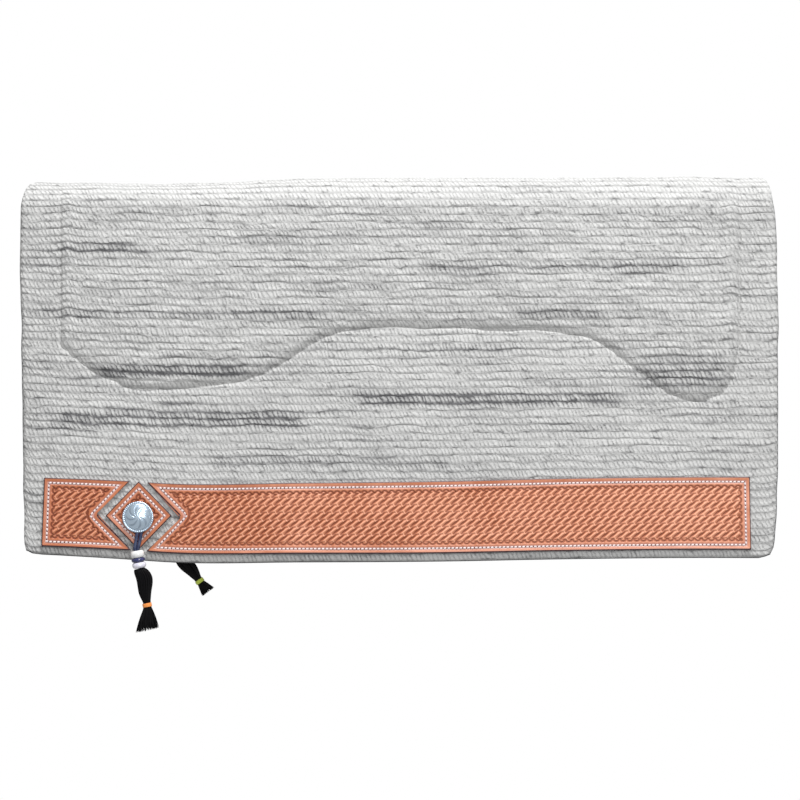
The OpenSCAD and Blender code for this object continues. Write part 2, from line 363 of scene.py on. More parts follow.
def rounding(gap: Array, radius: float, sharpness: float = 0.998) -> Array:
    """How far a rounded edge draws in, as a share of its radius.

    Args:
        gap: How far inside the edge each place is.
        radius: How far in the rounding ends.
        sharpness: 1 for a full quarter circle, less for one that stops short of upright.

    Returns:
        The share, 0 beyond the rounding and near 1 at the edge.
    """
    turn = np.clip(1 - gap / radius, 0, 1)
    return 1 - np.sqrt(1 - turn**2 * sharpness)


# ---------------------------------------------------------------- the pad's shape


def curve_through(places: Sequence[float], heights: Sequence[float]) -> Callable[[Array], Array]:
    """A smooth curve through a few points.

    Args:
        places: Rising places.
        heights: The curve's value at each.

    Returns:
        A function that gives the curve's value at any places.
    """
    at, to = np.asarray(places, float), np.asarray(heights, float)
    slope = np.gradient(to, at)

    def value(x: Array) -> Array:
        """The curve at x, level beyond its ends.

        Args:
            x: Places.

        Returns:
            The heights there.
        """
        x = np.clip(x, at[0], at[-1])
        i = np.clip(np.searchsorted(at, x) - 1, 0, len(at) - 2)
        gap = at[i + 1] - at[i]
        t = (x - at[i]) / gap
        return (to[i] * (2 * t**3 - 3 * t**2 + 1) + to[i + 1] * (3 * t**2 - 2 * t**3)
                + gap * (slope[i] * (t**3 - 2 * t**2 + t) + slope[i + 1] * (t**3 - t**2)))

    return value


def ripple(x: Array, y: Array, wave_m: float, seed: int) -> Array:
    """Smooth unevenness between about -1 and 1.

    Args:
        x: Places one way, in metres.
        y: Places the other way.
        wave_m: The usual length of a wave.
        seed: Which unevenness.

    Returns:
        The height at each place.
    """
    rng = np.random.default_rng(seed)
    total = np.zeros(np.broadcast(x, y).shape)
    for _ in range(7):
        turn, phase = rng.uniform(0, math.pi), rng.uniform(0, 2 * math.pi)
        long = wave_m * rng.uniform(0.7, 1.5)
        total += np.sin((x * math.cos(turn) + y * math.sin(turn)) * 2 * math.pi / long + phase)
    return total / 3.2


def to_outline(points: Array, outline: Array, closed: bool = True) -> tuple[Array, Array]:
    """Measures points against an outline.

    Args:
        points: Rows of two coordinates.
        outline: The outline's corners, in order.
        closed: Whether the last corner joins the first.

    Returns:
        The distance to the outline, and how far along it the nearest place is.
    """
    ends = np.roll(outline, -1, axis=0) if closed else outline[1:]
    starts = outline if closed else outline[:-1]
    best = np.full(len(points), np.inf)
    along = np.zeros(len(points))
    passed = 0.0
    for a, b in zip(starts, ends):
        run = b - a
        long = float(np.hypot(*run))
        if long < 1e-9:
            continue
        t = np.clip(((points - a) @ run) / long**2, 0, 1)
        gap = np.hypot(*(points - a - t[:, None] * run).T)
        nearer = gap < best
        best[nearer] = gap[nearer]
        along[nearer] = passed + t[nearer] * long
        passed += long
    return best, along


def inside(points: Array, outline: Array) -> Array:
    """Whether each point lies inside a closed outline.

    Args:
        points: Rows of two coordinates.
        outline: The outline's corners, in order.

    Returns:
        True for each point inside.
    """
    crossings = np.zeros(len(points), bool)
    for a, b in zip(outline, np.roll(outline, -1, axis=0)):
        if a[1] == b[1]:
            continue
        spans = (a[1] > points[:, 1]) != (b[1] > points[:, 1])
        crossings ^= spans & (points[:, 0] < a[0] + (points[:, 1] - a[1]) / (b[1] - a[1]) * (b[0] - a[0]))
    return crossings


@dataclass
class PadShape:
    """The folded pad's own sizes, and where a place on the cloth lies.

    The sizes that the frame holds are read from its boxes; the rest are the small unevennesses of
    a real pad.
    """

    rib_pitch: float = 7.87 * MM
    fold_ribs: int = 6
    corner_r: float = 14 * MM
    seam_front: float = 39 * MM
    seam_rear: float = 38 * MM
    seam_keys: tuple[tuple[float, float], ...] = (
        (39, -143), (48, -150), (78, -174), (90, -178), (112, -188), (143, -189), (186, -186), (227, -180),
        (253, -171), (290, -150), (320, -132.5), (343, -125.5), (363, -124), (446, -125), (499, -127),
        (562, -129), (592, -135), (614, -148), (645, -171), (679, -195), (697, -200), (718, -198),
        (734, -188), (744, -169), (749, -143))

    def __post_init__(self) -> None:
        """Reads the frame's boxes."""
        low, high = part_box("near_flap_cover")
        self.front, self.rear = low[0], high[0]
        self.drop = -low[2]
        self.fold_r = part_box("spine_cover")[1][2]
        self.lining_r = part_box("spine_lining")[1][2]
        self.felt_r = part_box("spine_felt")[1][2]
        self.insert_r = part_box("spine_insert")[1][2]
        self.border_r = -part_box("near_wear_leather_rear")[1][1]
        self.leather_r = -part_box("near_wear_leather_rear")[0][1]
        self.rail_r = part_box("near_flap_lining")[1][1] * -1
        self.quarter = self.fold_r * math.pi / 2
        self.split = self.quarter / 2
        self.top_lift = curve_through(
            np.array([-394, -353, -324, -268, -230, -177, -124, 0, 126, 314, 369, 394]) * MM,
            np.array([0.2, -0.9, -2.4, -5.4, -5.2, -3.7, -0.9, 0.2, 1.0, 3.0, 4.6, 4.8]) * MM)
        self.bottom_shift = curve_through(
            np.array([-394, -365, -287, -240, -104, 53, 157, 314, 394]) * MM,
            np.array([2.4, 2.1, -0.1, -2.1, 0.0, 1.4, 2.4, 0.7, -2.0]) * MM)
        self.front_edge = curve_through(
            np.array([0, 9, 20, 35, 50, 200, 330, 420]) * MM,
            np.array([12.5, 6.0, 1.5, -1.0, -2.0, -1.2, 0.3, 1.2]) * MM)
        self.rear_edge = curve_through(
            np.array([0, 10, 22, 45, 80, 130, 250, 350, 400, 420]) * MM,
            np.array([-11, -8, -5.5, -2.0, 0.6, 2.0, 1.8, 0.9, -2.0, -4.0]) * MM)

    def bottom(self, x: Array) -> Array:
        """How far below the rail's axis the bottom edge is."""
        corner = 3.5 * MM * ease(np.abs(x), self.rear - 13 * MM, self.rear) ** 2
        return self.drop - 7 * MM * (x / self.rear) ** 2 - self.bottom_shift(x) - corner

    def full_run(self, x: Array) -> Array:
        """The run at the bottom edge."""
        return self.quarter + self.bottom(x)

    def edges(self, run: Array) -> tuple[Array, Array]:
        """The front and rear edges' x at each run, with the lower corners rounded.

        Args:
            run: Runs down from the top of the fold.

        Returns:
            The front edge's x and the rear edge's.
        """
        drawn = self.corner_r * rounding(self.quarter + self.drop - run, self.corner_r + 9 * MM, 0.999)
        ribs = run / self.rib_pitch
        swell = (dome(part(ribs)) * 0.8 - 0.6) * MM
        stray = ripple(run, whole(ribs) * 0.01, 70 * MM, 51) * 0.5 * MM
        return (self.front + self.front_edge(run) + drawn - swell + stray,
                self.rear + self.rear_edge(run) - drawn + swell + stray)

    def point(self, x: Array, run: Array, r: Array, side: Side) -> Array:
        """Where a place on the cloth lies.

        Args:
            x: Places along the spine.
            run: Runs down from the top of the fold.
            r: Distances out from the rail's axis, or from the middle plane on a flap.
            side: The side of the pad.

        Returns:
            Rows of x, y and z.
        """
        turn = np.clip(run, 0, self.quarter) / self.fold_r
        lift = self.top_lift(x) * np.cos(turn) ** 2
        y = side.out * r * np.sin(turn)
        z = r * np.cos(turn) - np.maximum(run - self.quarter, 0) + lift
        return np.stack([x, y, z], axis=-1)

    def seam(self, closed_over_fold: bool = False) -> Array:
        """The contour seam as x and run.

        Args:
            closed_over_fold: Whether to give the whole outline over both sides, with the off
                side's runs below zero.

        Returns:
            The seam's points, from the front to the rear and, if asked, back on the off side.
        """
        keys = np.array(self.seam_keys) * MM
        keys[:, 0] += self.front
        fine = np.linspace(keys[0, 0], keys[-1, 0], 260)
        low = curve_through(keys[:, 0], self.quarter - keys[:, 1])(fine)
        near = np.stack([fine, low], axis=1)
        if not closed_over_fold:
            return near
        return np.concatenate([near, near[::-1] * (1, -1)])

    def inside_seam(self, x: Array, run: Array) -> Array:
        """How far inside the contour seam each place is; less than zero is outside.

        Args:
            x: Places along the pad.
            run: Runs down from the top of the fold.

        Returns:
            The distances, in metres.
        """
        points = np.stack([x.ravel(), np.abs(run).ravel()], axis=1)
        outline = self.seam(True)
        gap = to_outline(points, outline)[0]
        return np.where(inside(points, outline), gap, -gap).reshape(x.shape)

    def blend_line(self, upper: bool, r: float, side: Side) -> tuple[Vector, Vector]:
        """Where a piece starts and ends its turn about a fold line.

        Args:
            upper: The fold line beside the spine, or the one beside the flap.
            r: The piece's smallest distance from the rail's axis.
            side: The side of the pad.

        Returns:
            The start and the end.
        """
        turn = math.radians(22.5 if upper else 67.5)
        middle = Vector((0, side.out * self.fold_r * math.sin(turn), self.fold_r * math.cos(turn)))
        way = Vector((0, side.out * math.cos(turn), -math.sin(turn)))
        half = r * math.sin(math.radians(22.5)) * 0.97
        return middle - way * half, middle + way * half


# ---------------------------------------------------------------- mesh helpers


def deselect_all() -> None:
    """Leaves nothing selected or active."""
    if bpy.context.object and bpy.context.object.mode != "OBJECT":
        bpy.ops.object.mode_set(mode="OBJECT")
    bpy.ops.object.select_all(action="DESELECT")
    bpy.context.view_layer.objects.active = None


def select_only(piece: Piece) -> None:
    """Makes one piece the only selected one.

    Args:
        piece: The piece.
    """
    deselect_all()
    piece.select_set(True)
    bpy.context.view_layer.objects.active = piece


def linked(name: str, data: bpy.types.ID) -> Piece:
    """Makes an object that holds a mesh, a light or a camera.

    Args:
        name: The object's name.
        data: What it holds.

    Returns:
        The object, in the scene.
    """
    made = bpy.data.objects.new(name, data)
    bpy.context.scene.collection.objects.link(made)
    return made


def from_arrays(name: str, points: Array, faces: Sequence[Sequence[int]]) -> Piece:
    """Makes a piece from points and faces.

    Args:
        name: The piece's name.
        points: Rows of three coordinates.
        faces: The points of each face.

    Returns:
        The new piece.
    """
    mesh = bpy.data.meshes.new(name)
    mesh.from_pydata(np.asarray(points, float).tolist(), [], [list(map(int, f)) for f in faces])
    mesh.validate()
    mesh.update()
    return linked(name, mesh)


def set_uv(piece: Piece, layer: str, per_point: Array) -> None:
    """Writes a UV map from one pair for each point.

    Args:
        piece: The piece.
        layer: The map's name.
        per_point: A row of two for each point.
    """
    mesh = piece.data
    uv = mesh.uv_layers.get(layer) or mesh.uv_layers.new(name=layer)
    corners = np.zeros(len(mesh.loops), int)
    mesh.loops.foreach_get("vertex_index", corners)
    uv.data.foreach_set("uv", per_point[corners].astype(np.float32).ravel())


def set_attribute(piece: Piece, name: str, values: Array) -> None:
    """Stores one number on each point."""
    made = piece.data.attributes.new(name, "FLOAT", "POINT")
    made.data.foreach_set("value", values.astype(np.float32))


def smooth(piece: Piece, degrees: float = 40) -> None:
    """Shades a piece smooth but for its sharp edges.

    Args:
        piece: The piece.
        degrees: The angle that an edge stays sharp above.
    """
    select_only(piece)
    bpy.ops.object.shade_smooth_by_angle(angle=math.radians(degrees))
    deselect_all()


def grid_faces(rows: int, columns: int, first: int = 0, flip: bool = False) -> Array:
    """The quads of a grid whose points run along its rows.

    Args:
        rows: How many rows.
        columns: Points in a row.
        first: The first point's number.
        flip: Whether the faces turn over.

    Returns:
        A row of four points for each face.
    """
    i = (np.arange(rows - 1)[:, None] * columns + np.arange(columns - 1)[None, :]).ravel() + first
    quads = np.stack([i, i + 1, i + columns + 1, i + columns], axis=1)
    return quads[:, ::-1] if flip else quads


def rim_of(rows: int, columns: int) -> Array:
    """The points round a grid's edge, in order.

    Args:
        rows: How many rows.
        columns: Points in a row.

    Returns:
        The points' numbers.
    """
    top = np.arange(columns)
    right = np.arange(1, rows) * columns + columns - 1
    bottom = (rows - 1) * columns + np.arange(columns - 2, -1, -1)
    left = np.arange(rows - 2, 0, -1) * columns
    return np.concatenate([top, right, bottom, left])


def recalculate(piece: Piece, merge: float = 0.0) -> None:
    """Merges doubles if asked, and points all faces outwards.

    Args:
        piece: The piece.
        merge: How near doubles are, or 0 to keep them.
    """
    select_only(piece)
    bpy.ops.object.mode_set(mode="EDIT")
    bpy.ops.mesh.select_all(action="SELECT")
    if merge:
        bpy.ops.mesh.remove_doubles(threshold=merge)
    bpy.ops.mesh.normals_make_consistent(inside=False)
    bpy.ops.object.mode_set(mode="OBJECT")
    deselect_all()


def lathe(name: str, profile: Sequence[Pair], steps: int = 48) -> Piece:
    """Spins a profile about Z.

    Args:
        name: The piece's name.
        profile: Points of distance from the axis and height, from one end to the other.
        steps: How many sides the turned shape has.

    Returns:
        The turned piece, closed where the profile meets the axis.
    """
    points = [(r, 0.0, z) for r, z in profile]
    mesh = bpy.data.meshes.new(name)
    mesh.from_pydata(points, [(i, i + 1) for i in range(len(points) - 1)], [])
    piece = linked(name, mesh)
    select_only(piece)
    bpy.ops.object.mode_set(mode="EDIT")
    bpy.ops.mesh.select_all(action="SELECT")
    bpy.ops.mesh.spin(steps=steps, angle=2 * math.pi, center=(0, 0, 0), axis=(0, 0, 1))
    recalculate(piece, 0.01 * MM)
    return piece


def dressed(piece: Piece, finish: Material, degrees: float, body: str, slot: str = "",
            node: str = "") -> Piece:
    """Finishes a hard piece and says how it belongs to the part.

    Args:
        piece: The piece.
        finish: Its material.
        degrees: The sharpest angle that is shaded smooth.
        body: The body that it rides on.
        slot: The material slot that it shows, if it has one; not used.
        node: The node that it replaces, if there is one.

    Returns:
        The same piece.
    """
    piece.data.materials.append(finish)
    smooth(piece, degrees)
    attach(piece, body)
    if node:
        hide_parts(node)
    return piece


def copies(name: str, template: Piece, places: Sequence[Matrix]) -> Piece:
    """Copies a template's mesh to many places in one piece, and removes the template.

    Args:
        name: The piece's name.
        template: What is copied.
        places: A transform for each copy.

    Returns:
        The piece.
    """
    source = template.data
    points = np.array([v.co for v in source.vertices])
    faces = [list(p.vertices) for p in source.polygons]
    all_points, all_faces = [], []
    for count, place in enumerate(places):
        turn = np.array(place)
        all_points.append(points @ turn[:3, :3].T + turn[:3, 3])
        first = count * len(points)
        all_faces.extend([[v + first for v in f] for f in faces])
    bpy.data.objects.remove(template)
    return from_arrays(name, np.concatenate(all_points), all_faces)


def sweep(path: Array, radii: Array, sides: int, squash: float = 1.0,
          wide: tuple[float, float, float] = (0.31, 0.87, 0.12)) -> tuple[Array, list]:
    """A closed tube along a path.

    Args:
        path: The points of its middle.
        radii: Its radius at each point.
        sides: How many sides it has.
        squash: Its thickness across as a share of its width.
        wide: The way its width points at the start.

    Returns:
        The tube's points and faces.
    """
    ahead = np.gradient(path, axis=0)
    ahead /= np.linalg.norm(ahead, axis=1)[:, None]
    aside = np.array(wide, float)
    rings = []
    for spot, way, r in zip(path, ahead, radii):
        aside = aside - way * (aside @ way)
        aside /= np.linalg.norm(aside)
        up = np.cross(way, aside)
        turn = np.linspace(0, 2 * math.pi, sides, endpoint=False)
        rings.append(spot + r * (np.cos(turn)[:, None] * aside + squash * np.sin(turn)[:, None] * up))
    points = np.concatenate(rings)
    faces = []
    for k in range(len(path) - 1):
        for s in range(sides):
            a, b = k * sides + s, k * sides + (s + 1) % sides
            faces.append([a, b, b + sides, a + sides])
    faces.append(list(range(sides))[::-1])
    faces.append([(len(path) - 1) * sides + s for s in range(sides)])
    return points, faces


def many(name: str, parts: Sequence[tuple[Array, list]]) -> Piece:
    """Makes one piece from several lots of points and faces.

    Args:
        name: The piece's name.
        parts: Points and faces of each part.

    Returns:
        The piece.
    """
    points, faces, first = [], [], 0
    for some, around in parts:
        points.append(some)
        faces.extend([[v + first for v in f] for f in around])
        first += len(some)
    return from_arrays(name, np.concatenate(points), faces)


def spaced_places(low: float, high: float, step: float, fine: Sequence[float] = ()) -> Array:
    """Places from low to high, closer together near both ends and near some places.

    Args:
        low: The first place.
        high: The last place.
        step: The usual gap.
        fine: Places with close neighbours.

    Returns:
        The rising places.
    """
    ends = np.array([0, 0.4, 1.0, 1.9, 3.1, 4.6]) * MM
    spots = list(np.arange(low + 6.5 * MM, high - 6.5 * MM, step)) + list(low + ends) + list(high - ends)
    for middle in fine:
        near = middle + np.arange(-7, 8) * MM
        spots = [s for s in spots if abs(s - middle) > 7.6 * MM] + list(near)
    return np.array(sorted(spots))


# ---------------------------------------------------------------- finishes


@dataclass(frozen=True)
class WovenWool:
    """Heather wool woven in ribs of slanting loops, in light and dark grey yarn, with painted shade
    darkening the gaps between loops and ribs.
    """

    light: Colour = (0.605, 0.605, 0.597)
    dark: Colour = (0.17, 0.17, 0.175)
    # Painted shade: the colour that the gaps between loops and ribs are darkened towards.
    gap_shade: Colour = (0.27, 0.27, 0.275)
    slant: float = 0.68
    lean_spread: float = 0.35
    rib_wander: float = 0.6
    rib_fuzz: float = 0.36
    loop_drift: float = 2.2
    loop_fray: float = 0.75
    fibre: float = 1300.0

    def build(self) -> Material:
        """Makes the material; it reads the cloth's own map, which counts loops and ribs.

        Returns:
            The material.
        """
        g = Graph("wool_cover")
        raw_loops, raw_ribs = g.uv("cloth")
        wander = g.noise(g.vector(raw_loops * 0.11, raw_ribs * 0.5), 1.0, 2.0)
        fuzz = g.noise(g.place(), 520.0, 3.0, 0.7)
        ribs = raw_ribs + (wander - 0.5) * self.rib_wander + (fuzz - 0.5) * self.rib_fuzz
        rib_number = whole(ribs)
        rib_luck = g.random(g.vector(rib_number, 3.0))
        squeeze = g.noise(g.vector(raw_loops * 0.3, rib_number * 3.7), 1.0, 2.0)
        frayed = g.noise(g.place((1, 1, 1.7)), 430.0, 3.0, 0.7)
        loops = (raw_loops + (squeeze - 0.5) * self.loop_drift + rib_luck * 7.0
                 + (frayed - 0.5) * self.loop_fray)
        across = part(ribs)
        leaning = loops - across * (rib_luck * self.lean_spread + self.slant)
        loop, rib = hump(part(leaning)), hump(across)
        chance = g.random(g.vector(whole(leaning), rib_number))
        patch = g.noise(g.place((9, 9, 17)), 1.0, 2.0)
        fibres = g.noise(g.place(), self.fibre, 3.0, 0.75)
        strand = g.noise(g.vector(loops * 3.0 - across * 2.6, ribs * 1.6), 1.0, 3.0, 0.7)
        plump = (loop * 0.62 + 0.38) * (rib * 0.92 + 0.08)
        deep = g.ramp(plump, 0.95, 0.15)
        flow = g.noise(g.vector(raw_loops * 0.045, ribs * 0.95), 1.0, 4.0, 0.65)
        runs = g.ramp(flow, 0.50, 0.76)
        luck = g.noise(g.vector(loops * 0.45, ribs * 1.1, 7.0), 1.0, 2.0)
        specks = deep * g.ramp(luck, 0.50, 0.70)
        # The stored darkness also holds the painted light that lightens the top of the fold.
        shade = ((g.attribute("dark_yarn") * (chance * 0.7 + 0.9) + runs * 0.62) * (deep + 0.36)
                 + (chance - 0.5) * 0.16 + (patch - 0.5) * 0.35 + (fibres - 0.5) * 0.75
                 + (strand - 0.5) * 0.8 + 0.09)
        yarn = g.mix(unit(shade), self.light, self.dark)
        # Painted shade: the gaps between loops and ribs are darkened towards the gap colour, with random
        # dark specks of yarn in them.
        between = deep * 0.42 + specks * 0.58
        colour = g.mix(between, yarn, g.mix(0.9, yarn, self.gap_shade, "MULTIPLY"))
        height = plump * 0.8 + strand * 0.14 + fibres * 0.10
        return g.finish(Base_Color=colour, Roughness=0.95, Normal=g.bump(height, 1.5 * MM, 0.8),
                        Sheen_Weight=0.12, Sheen_Roughness=0.6, Specular_IOR_Level=0.1)


@dataclass(frozen=True)
class PressedFelt:
    """Pressed wool felt, matted and slightly mottled."""

    name: str
    light: Colour
    dark: Colour
    fluff: float = 0.7 * MM

    def build(self) -> Material:
        """Makes the material; it reads the piece's own place.

        Returns:
            The material.
        """
        g = Graph(self.name)
        mat = g.noise(g.place(), 420.0, 5.0, 0.7)
        clouds = g.noise(g.place(), 35.0, 3.0)
        hairs = g.noise(g.place((1, 1, 3)), 1400.0, 2.0, 0.6)
        share = unit((mat - 0.5) * 1.6 + (clouds - 0.5) * 0.8 + 0.5)
        normal = g.bump(mat * 0.7 + hairs * 0.3, self.fluff, 0.9)
        return g.finish(Base_Color=g.mix(share, self.dark, self.light), Roughness=0.97, Normal=normal,
                        Sheen_Weight=0.3, Sheen_Roughness=0.7, Specular_IOR_Level=0.15)


@dataclass(frozen=True)
class StampedLeather:
    """Vegetable-tanned leather, basket-stamped inside a scalloped border, with painted edges; its colour
    also holds a painted highlight on the stroke crests and a painted shadow along the lower edges.
    """

    tan: Colour = (0.47, 0.150, 0.066)
    rose: Colour = (0.79, 0.355, 0.225)
    recess: Colour = (0.20, 0.040, 0.013)
    # Dark edge paint, also used as a painted shadow along the lower edges.
    edge_paint_and_shadow: Colour = (0.040, 0.005, 0.010)
    mauve: Colour = (0.60, 0.36, 0.34)
    stagger: float = 0.31
    stroke_lean: float = 1.12
    column: float = 8.4 * MM
    row: float = 7.75 * MM
    scallop_pitch: float = 7.1 * MM
    scallop_in: float = 12.3 * MM
    scallop_r: float = 3.0 * MM
    stitch_in: float = 5.1 * MM

    def strokes(self, x: Field, z: Field) -> tuple[Field, Field]:
        """The basket stamp's slanting strokes.

        Args:
            x: Places along the strip.
            z: Heights above its lower edge.

        Returns:
            The stamp's height, from 0 in its hollows to 1 on top, and the bright crest of each stroke.
        """
        row = z / self.row
        up = part(row)
        shifted = x / self.column + whole(row) * self.stagger
        across = part(shifted - up * self.stroke_lean)
        body = root(dome(across)) * (root(dome(up)) * 0.6 + 0.4)
        beside = (part(across + 0.5) - 0.5) * self.column
        above = (up - 0.5) * self.row
        wedge = 1.0 - ease(root(beside * beside + above * above * 0.45), 0.9 * MM, 2.3 * MM)
        crest = (1.0 - ease(size(across - 0.40), 0.04, 0.27)) * ease(dome(up), 0.30, 0.95)
        ticks = larger(self.tick(shifted - 0.52, 1.0 - up, -0.5), self.tick(shifted - 0.83, up, 0.5))
        return larger(body - wedge * 0.75, ticks * 0.85), larger(crest, ticks)

    def tick(self, x: Field, rise: Field, slant: float) -> Field:
        """Half of the short bright tick that joins two rows of strokes, from the row's edge inwards."""
        off = size(part(x + rise * slant + 0.5) - 0.5) * self.column
        return (1.0 - ease(off, 0.35 * MM, 1.15 * MM)) * (1.0 - ease(rise, 0.22, 0.36))

    def scallops(self, along: Field, inward: Field) -> Field:
        """The row of stamped arches round the field, 1 in their grooves.

        Args:
            along: The way round the edge.
            inward: The way in from it.

        Returns:
            The grooves, from 0 to 1.
        """
        da = (part(along / self.scallop_pitch) - 0.5) * self.scallop_pitch
        di = inward - self.scallop_in
        ring = size(root(da * da + di * di) - self.scallop_r)
        line = 1.0 - ease(ring, 0.45 * MM, 1.25 * MM)
        return line * (1.0 - ease(inward, self.scallop_in - 0.8 * MM, self.scallop_in + 0.2 * MM))

    def field(self, inward: Field) -> Field:
        """1 where the basket stamp is, 0 in the border."""
        return ease(inward, self.scallop_in - 1.6 * MM, self.scallop_in - 0.4 * MM)

    def relief(self, x: Field, z: Field, along: Field, inward: Field) -> Field:
        """The stamped surface's height, in metres, below zero where it is pressed in.

        Args:
            x: The way along the leather.
            z: The way up it.
            along: The way round its edge.
            inward: The way in from it.

        Returns:
            The height.
        """
        body, crest = self.strokes(x, z)
        stamped = (body * 0.85 + crest * 0.30 - 1.0) * self.field(inward)
        groove = 1.0 - ease(size(inward - self.stitch_in), 1.1 * MM, 1.8 * MM)
        return (stamped - self.scallops(along, inward) * 0.7 - groove * 0.35) * MM

    def build(self) -> Material:
        """Makes the material; it reads the piece's map, its map of the edge and how red it is.

        Returns:
            The material.
        """
        g = Graph("tooled_leather")
        x, z = g.uv("face")
        along, inward = g.uv("edge")
        body, crest = self.strokes(x, z)
        inner, scallop = self.field(inward), self.scallops(along, inward)
        red = g.attribute("redness")
        pressed = smaller(larger(inner * ease(body, 0.92, 0.42), scallop), 1.0)
        clouds = g.noise(g.place(), 14.0, 3.0)
        grain = g.noise(g.place(), 900.0, 4.0, 0.65)
        wear = g.noise(g.place(), 110.0, 3.0, 0.6)
        share = unit((clouds - 0.5) * 1.5 + (wear - 0.5) * 0.9 + 0.48 - red * 0.60)
        leather = g.mix(share, self.tan, self.rose)
        # Painted highlight: the crests of the stamped strokes are lightened towards a paler rose, less where
        # the leather is redder.
        worn = tuple(min(c * 1.25, 0.9) for c in self.rose)
        crest_highlighted = g.mix(inner * crest * (0.75 - red * 0.35), leather, worn)
        # Darker in the stamped hollows and scallop lines, more where the leather is redder.
        darkened_in_hollows = g.mix(pressed * (0.72 + red * 0.26), crest_highlighted, self.recess)
        sewn = (1.0 - ease(size(inward - self.stitch_in), 0.9 * MM, 2.2 * MM)) * 0.7
        margin = g.mix(sewn, darkened_in_hollows, self.mauve)
        # Painted shadow: the dark edge paint is widened along the lower edges, where the strip casts its
        # shadow.
        lower = 1.0 - ease(z, -11.8 * MM, -9.5 * MM)
        edge = ease(inward - lower * (0.9 * MM), 0.5 * MM, 1.2 * MM)
        colour = g.mix(edge, self.edge_paint_and_shadow, margin)
        height = self.relief(x, z, along, inward) * (0.5 / MM) + 0.8
        stamp = g.bump(height, 1.3 * MM, 0.8)
        normal = g.bump(grain, 0.12 * MM, 0.5, stamp)
        shine = g.ramp(pressed, 0.0, 1.0, 0.34, 0.62) + (wear - 0.5) * 0.2
        return g.finish(Base_Color=colour, Roughness=shine, Normal=normal, Coat_Weight=0.10,
                        Coat_Roughness=0.3, Specular_IOR_Level=0.45)


@dataclass(frozen=True)
class TwistedThread:
    """Twisted thread, matte with fine slanting plies."""

    name: str
    colour: Colour
    ply: float = 1200.0

    def build(self) -> Material:
        """Makes the material; it reads the piece's own place.

        Returns:
            The material.
        """
        g = Graph(self.name)
        plies = wave(g.noise(g.place((1, 1, 1)), self.ply * 0.35, 1.0) * 3.0) * 0.5 + 0.5
        dusty = g.noise(g.place(), 160.0, 2.0)
        shaded = g.mix(plies * 0.35 + (dusty - 0.5) * 0.3, self.colour,
                       tuple(c * 0.6 for c in self.colour))
        return g.finish(Base_Color=shaded, Roughness=0.8, Normal=g.bump(plies, 0.15 * MM, 0.6),
                        Sheen_Weight=0.2, Specular_IOR_Level=0.3)


@dataclass(frozen=True)
class EngravedSilver:
    """Aged silver with dark in its engraving."""

    bright: Colour = (0.60, 0.73, 0.86)
    dull: Colour = (0.17, 0.22, 0.29)

    def build(self) -> Material:
        """Makes the material; the piece's own points say how deep the engraving is.

        Returns:
            The material.
        """
        g = Graph("concho_silver")
        cut = g.attribute("engraved")
        clouds = g.noise(g.place(), 120.0, 3.0)
        scratches = g.noise(g.place((1, 1, 9)), 500.0, 3.0, 0.7)
        share = unit(cut * 0.55 + (clouds - 0.5) * 0.4)
        shine = 0.24 + share * 0.25 + (scratches - 0.5) * 0.16
        return g.finish(Base_Color=g.mix(share, self.bright, self.dull), Metallic=0.93, Roughness=shine,
                        Normal=g.bump(scratches, 0.04 * MM, 0.4))


@dataclass(frozen=True)
class PlainSteel:
    """Turned steel of the posts and backplates."""

    colour: Colour = (0.5, 0.51, 0.53)

    def build(self) -> Material:
        """Makes the material; it reads the piece's own place.

        Returns:
            The material.
        """
        g = Graph("post_steel")
        turned = g.noise(g.place((1, 9, 1)), 700.0, 3.0, 0.7)
        shade = g.mix(turned * 0.5, self.colour, tuple(c * 0.6 for c in self.colour))
        return g.finish(Base_Color=shade, Metallic=1.0, Roughness=turned * 0.25 + 0.28,
                        Normal=g.bump(turned, 0.03 * MM, 0.5))


@dataclass(frozen=True)
class WaxedLace:
    """Waxed lacing leather of the thongs."""

    colour: Colour = (0.012, 0.019, 0.055)
    worn: Colour = (0.05, 0.065, 0.12)

    def build(self) -> Material:
        """Makes the material; it reads the piece's own place.

        Returns:
            The material.
        """
        g = Graph("thong_leather")
        grain = g.noise(g.place(), 700.0, 4.0, 0.65)
        rubs = g.ramp(g.noise(g.place(), 140.0, 3.0), 0.5, 0.75)
        return g.finish(Base_Color=g.mix(rubs * 0.7, self.colour, self.worn),
                        Roughness=grain * 0.3 + 0.32, Normal=g.bump(grain, 0.2 * MM, 0.6),
                        Coat_Weight=0.0, Specular_IOR_Level=0.3)


@dataclass(frozen=True)
class GlossBead:
    """A moulded bead with faint swirls under its gloss."""

    name: str
    colour: Colour
    swirl: Colour

    def build(self) -> Material:
        """Makes the material; it reads the piece's own place.

        Returns:
            The material.
        """
        g = Graph(self.name)
        clouds = g.ramp(g.noise(g.place(), 260.0, 3.0), 0.42, 0.7)
        pits = g.noise(g.place(), 1500.0, 2.0)
        return g.finish(Base_Color=g.mix(clouds * 0.7, self.colour, self.swirl),
                        Roughness=pits * 0.12 + 0.16, Normal=g.bump(pits, 0.03 * MM, 0.4),
                        Coat_Weight=0.5, Coat_Roughness=0.08)


@dataclass(frozen=True)
class BlackHair:
    """Straight black horsehair."""

    root: Colour = (0.003, 0.003, 0.0035)
    tip: Colour = (0.006, 0.0055, 0.0065)

    def build(self) -> Material:
        """Makes the material; it reads the piece's own place.

        Returns:
            The material.
        """
        g = Graph("horsehair")
        strands = g.noise(g.place((1, 1, 0.12)), 1500.0, 3.0, 0.7)
        return g.finish(Base_Color=g.mix(strands, self.root, self.tip), Roughness=strands * 0.25 + 0.3,
                        Normal=g.bump(strands, 0.15 * MM, 0.6), Specular_IOR_Level=0.12)


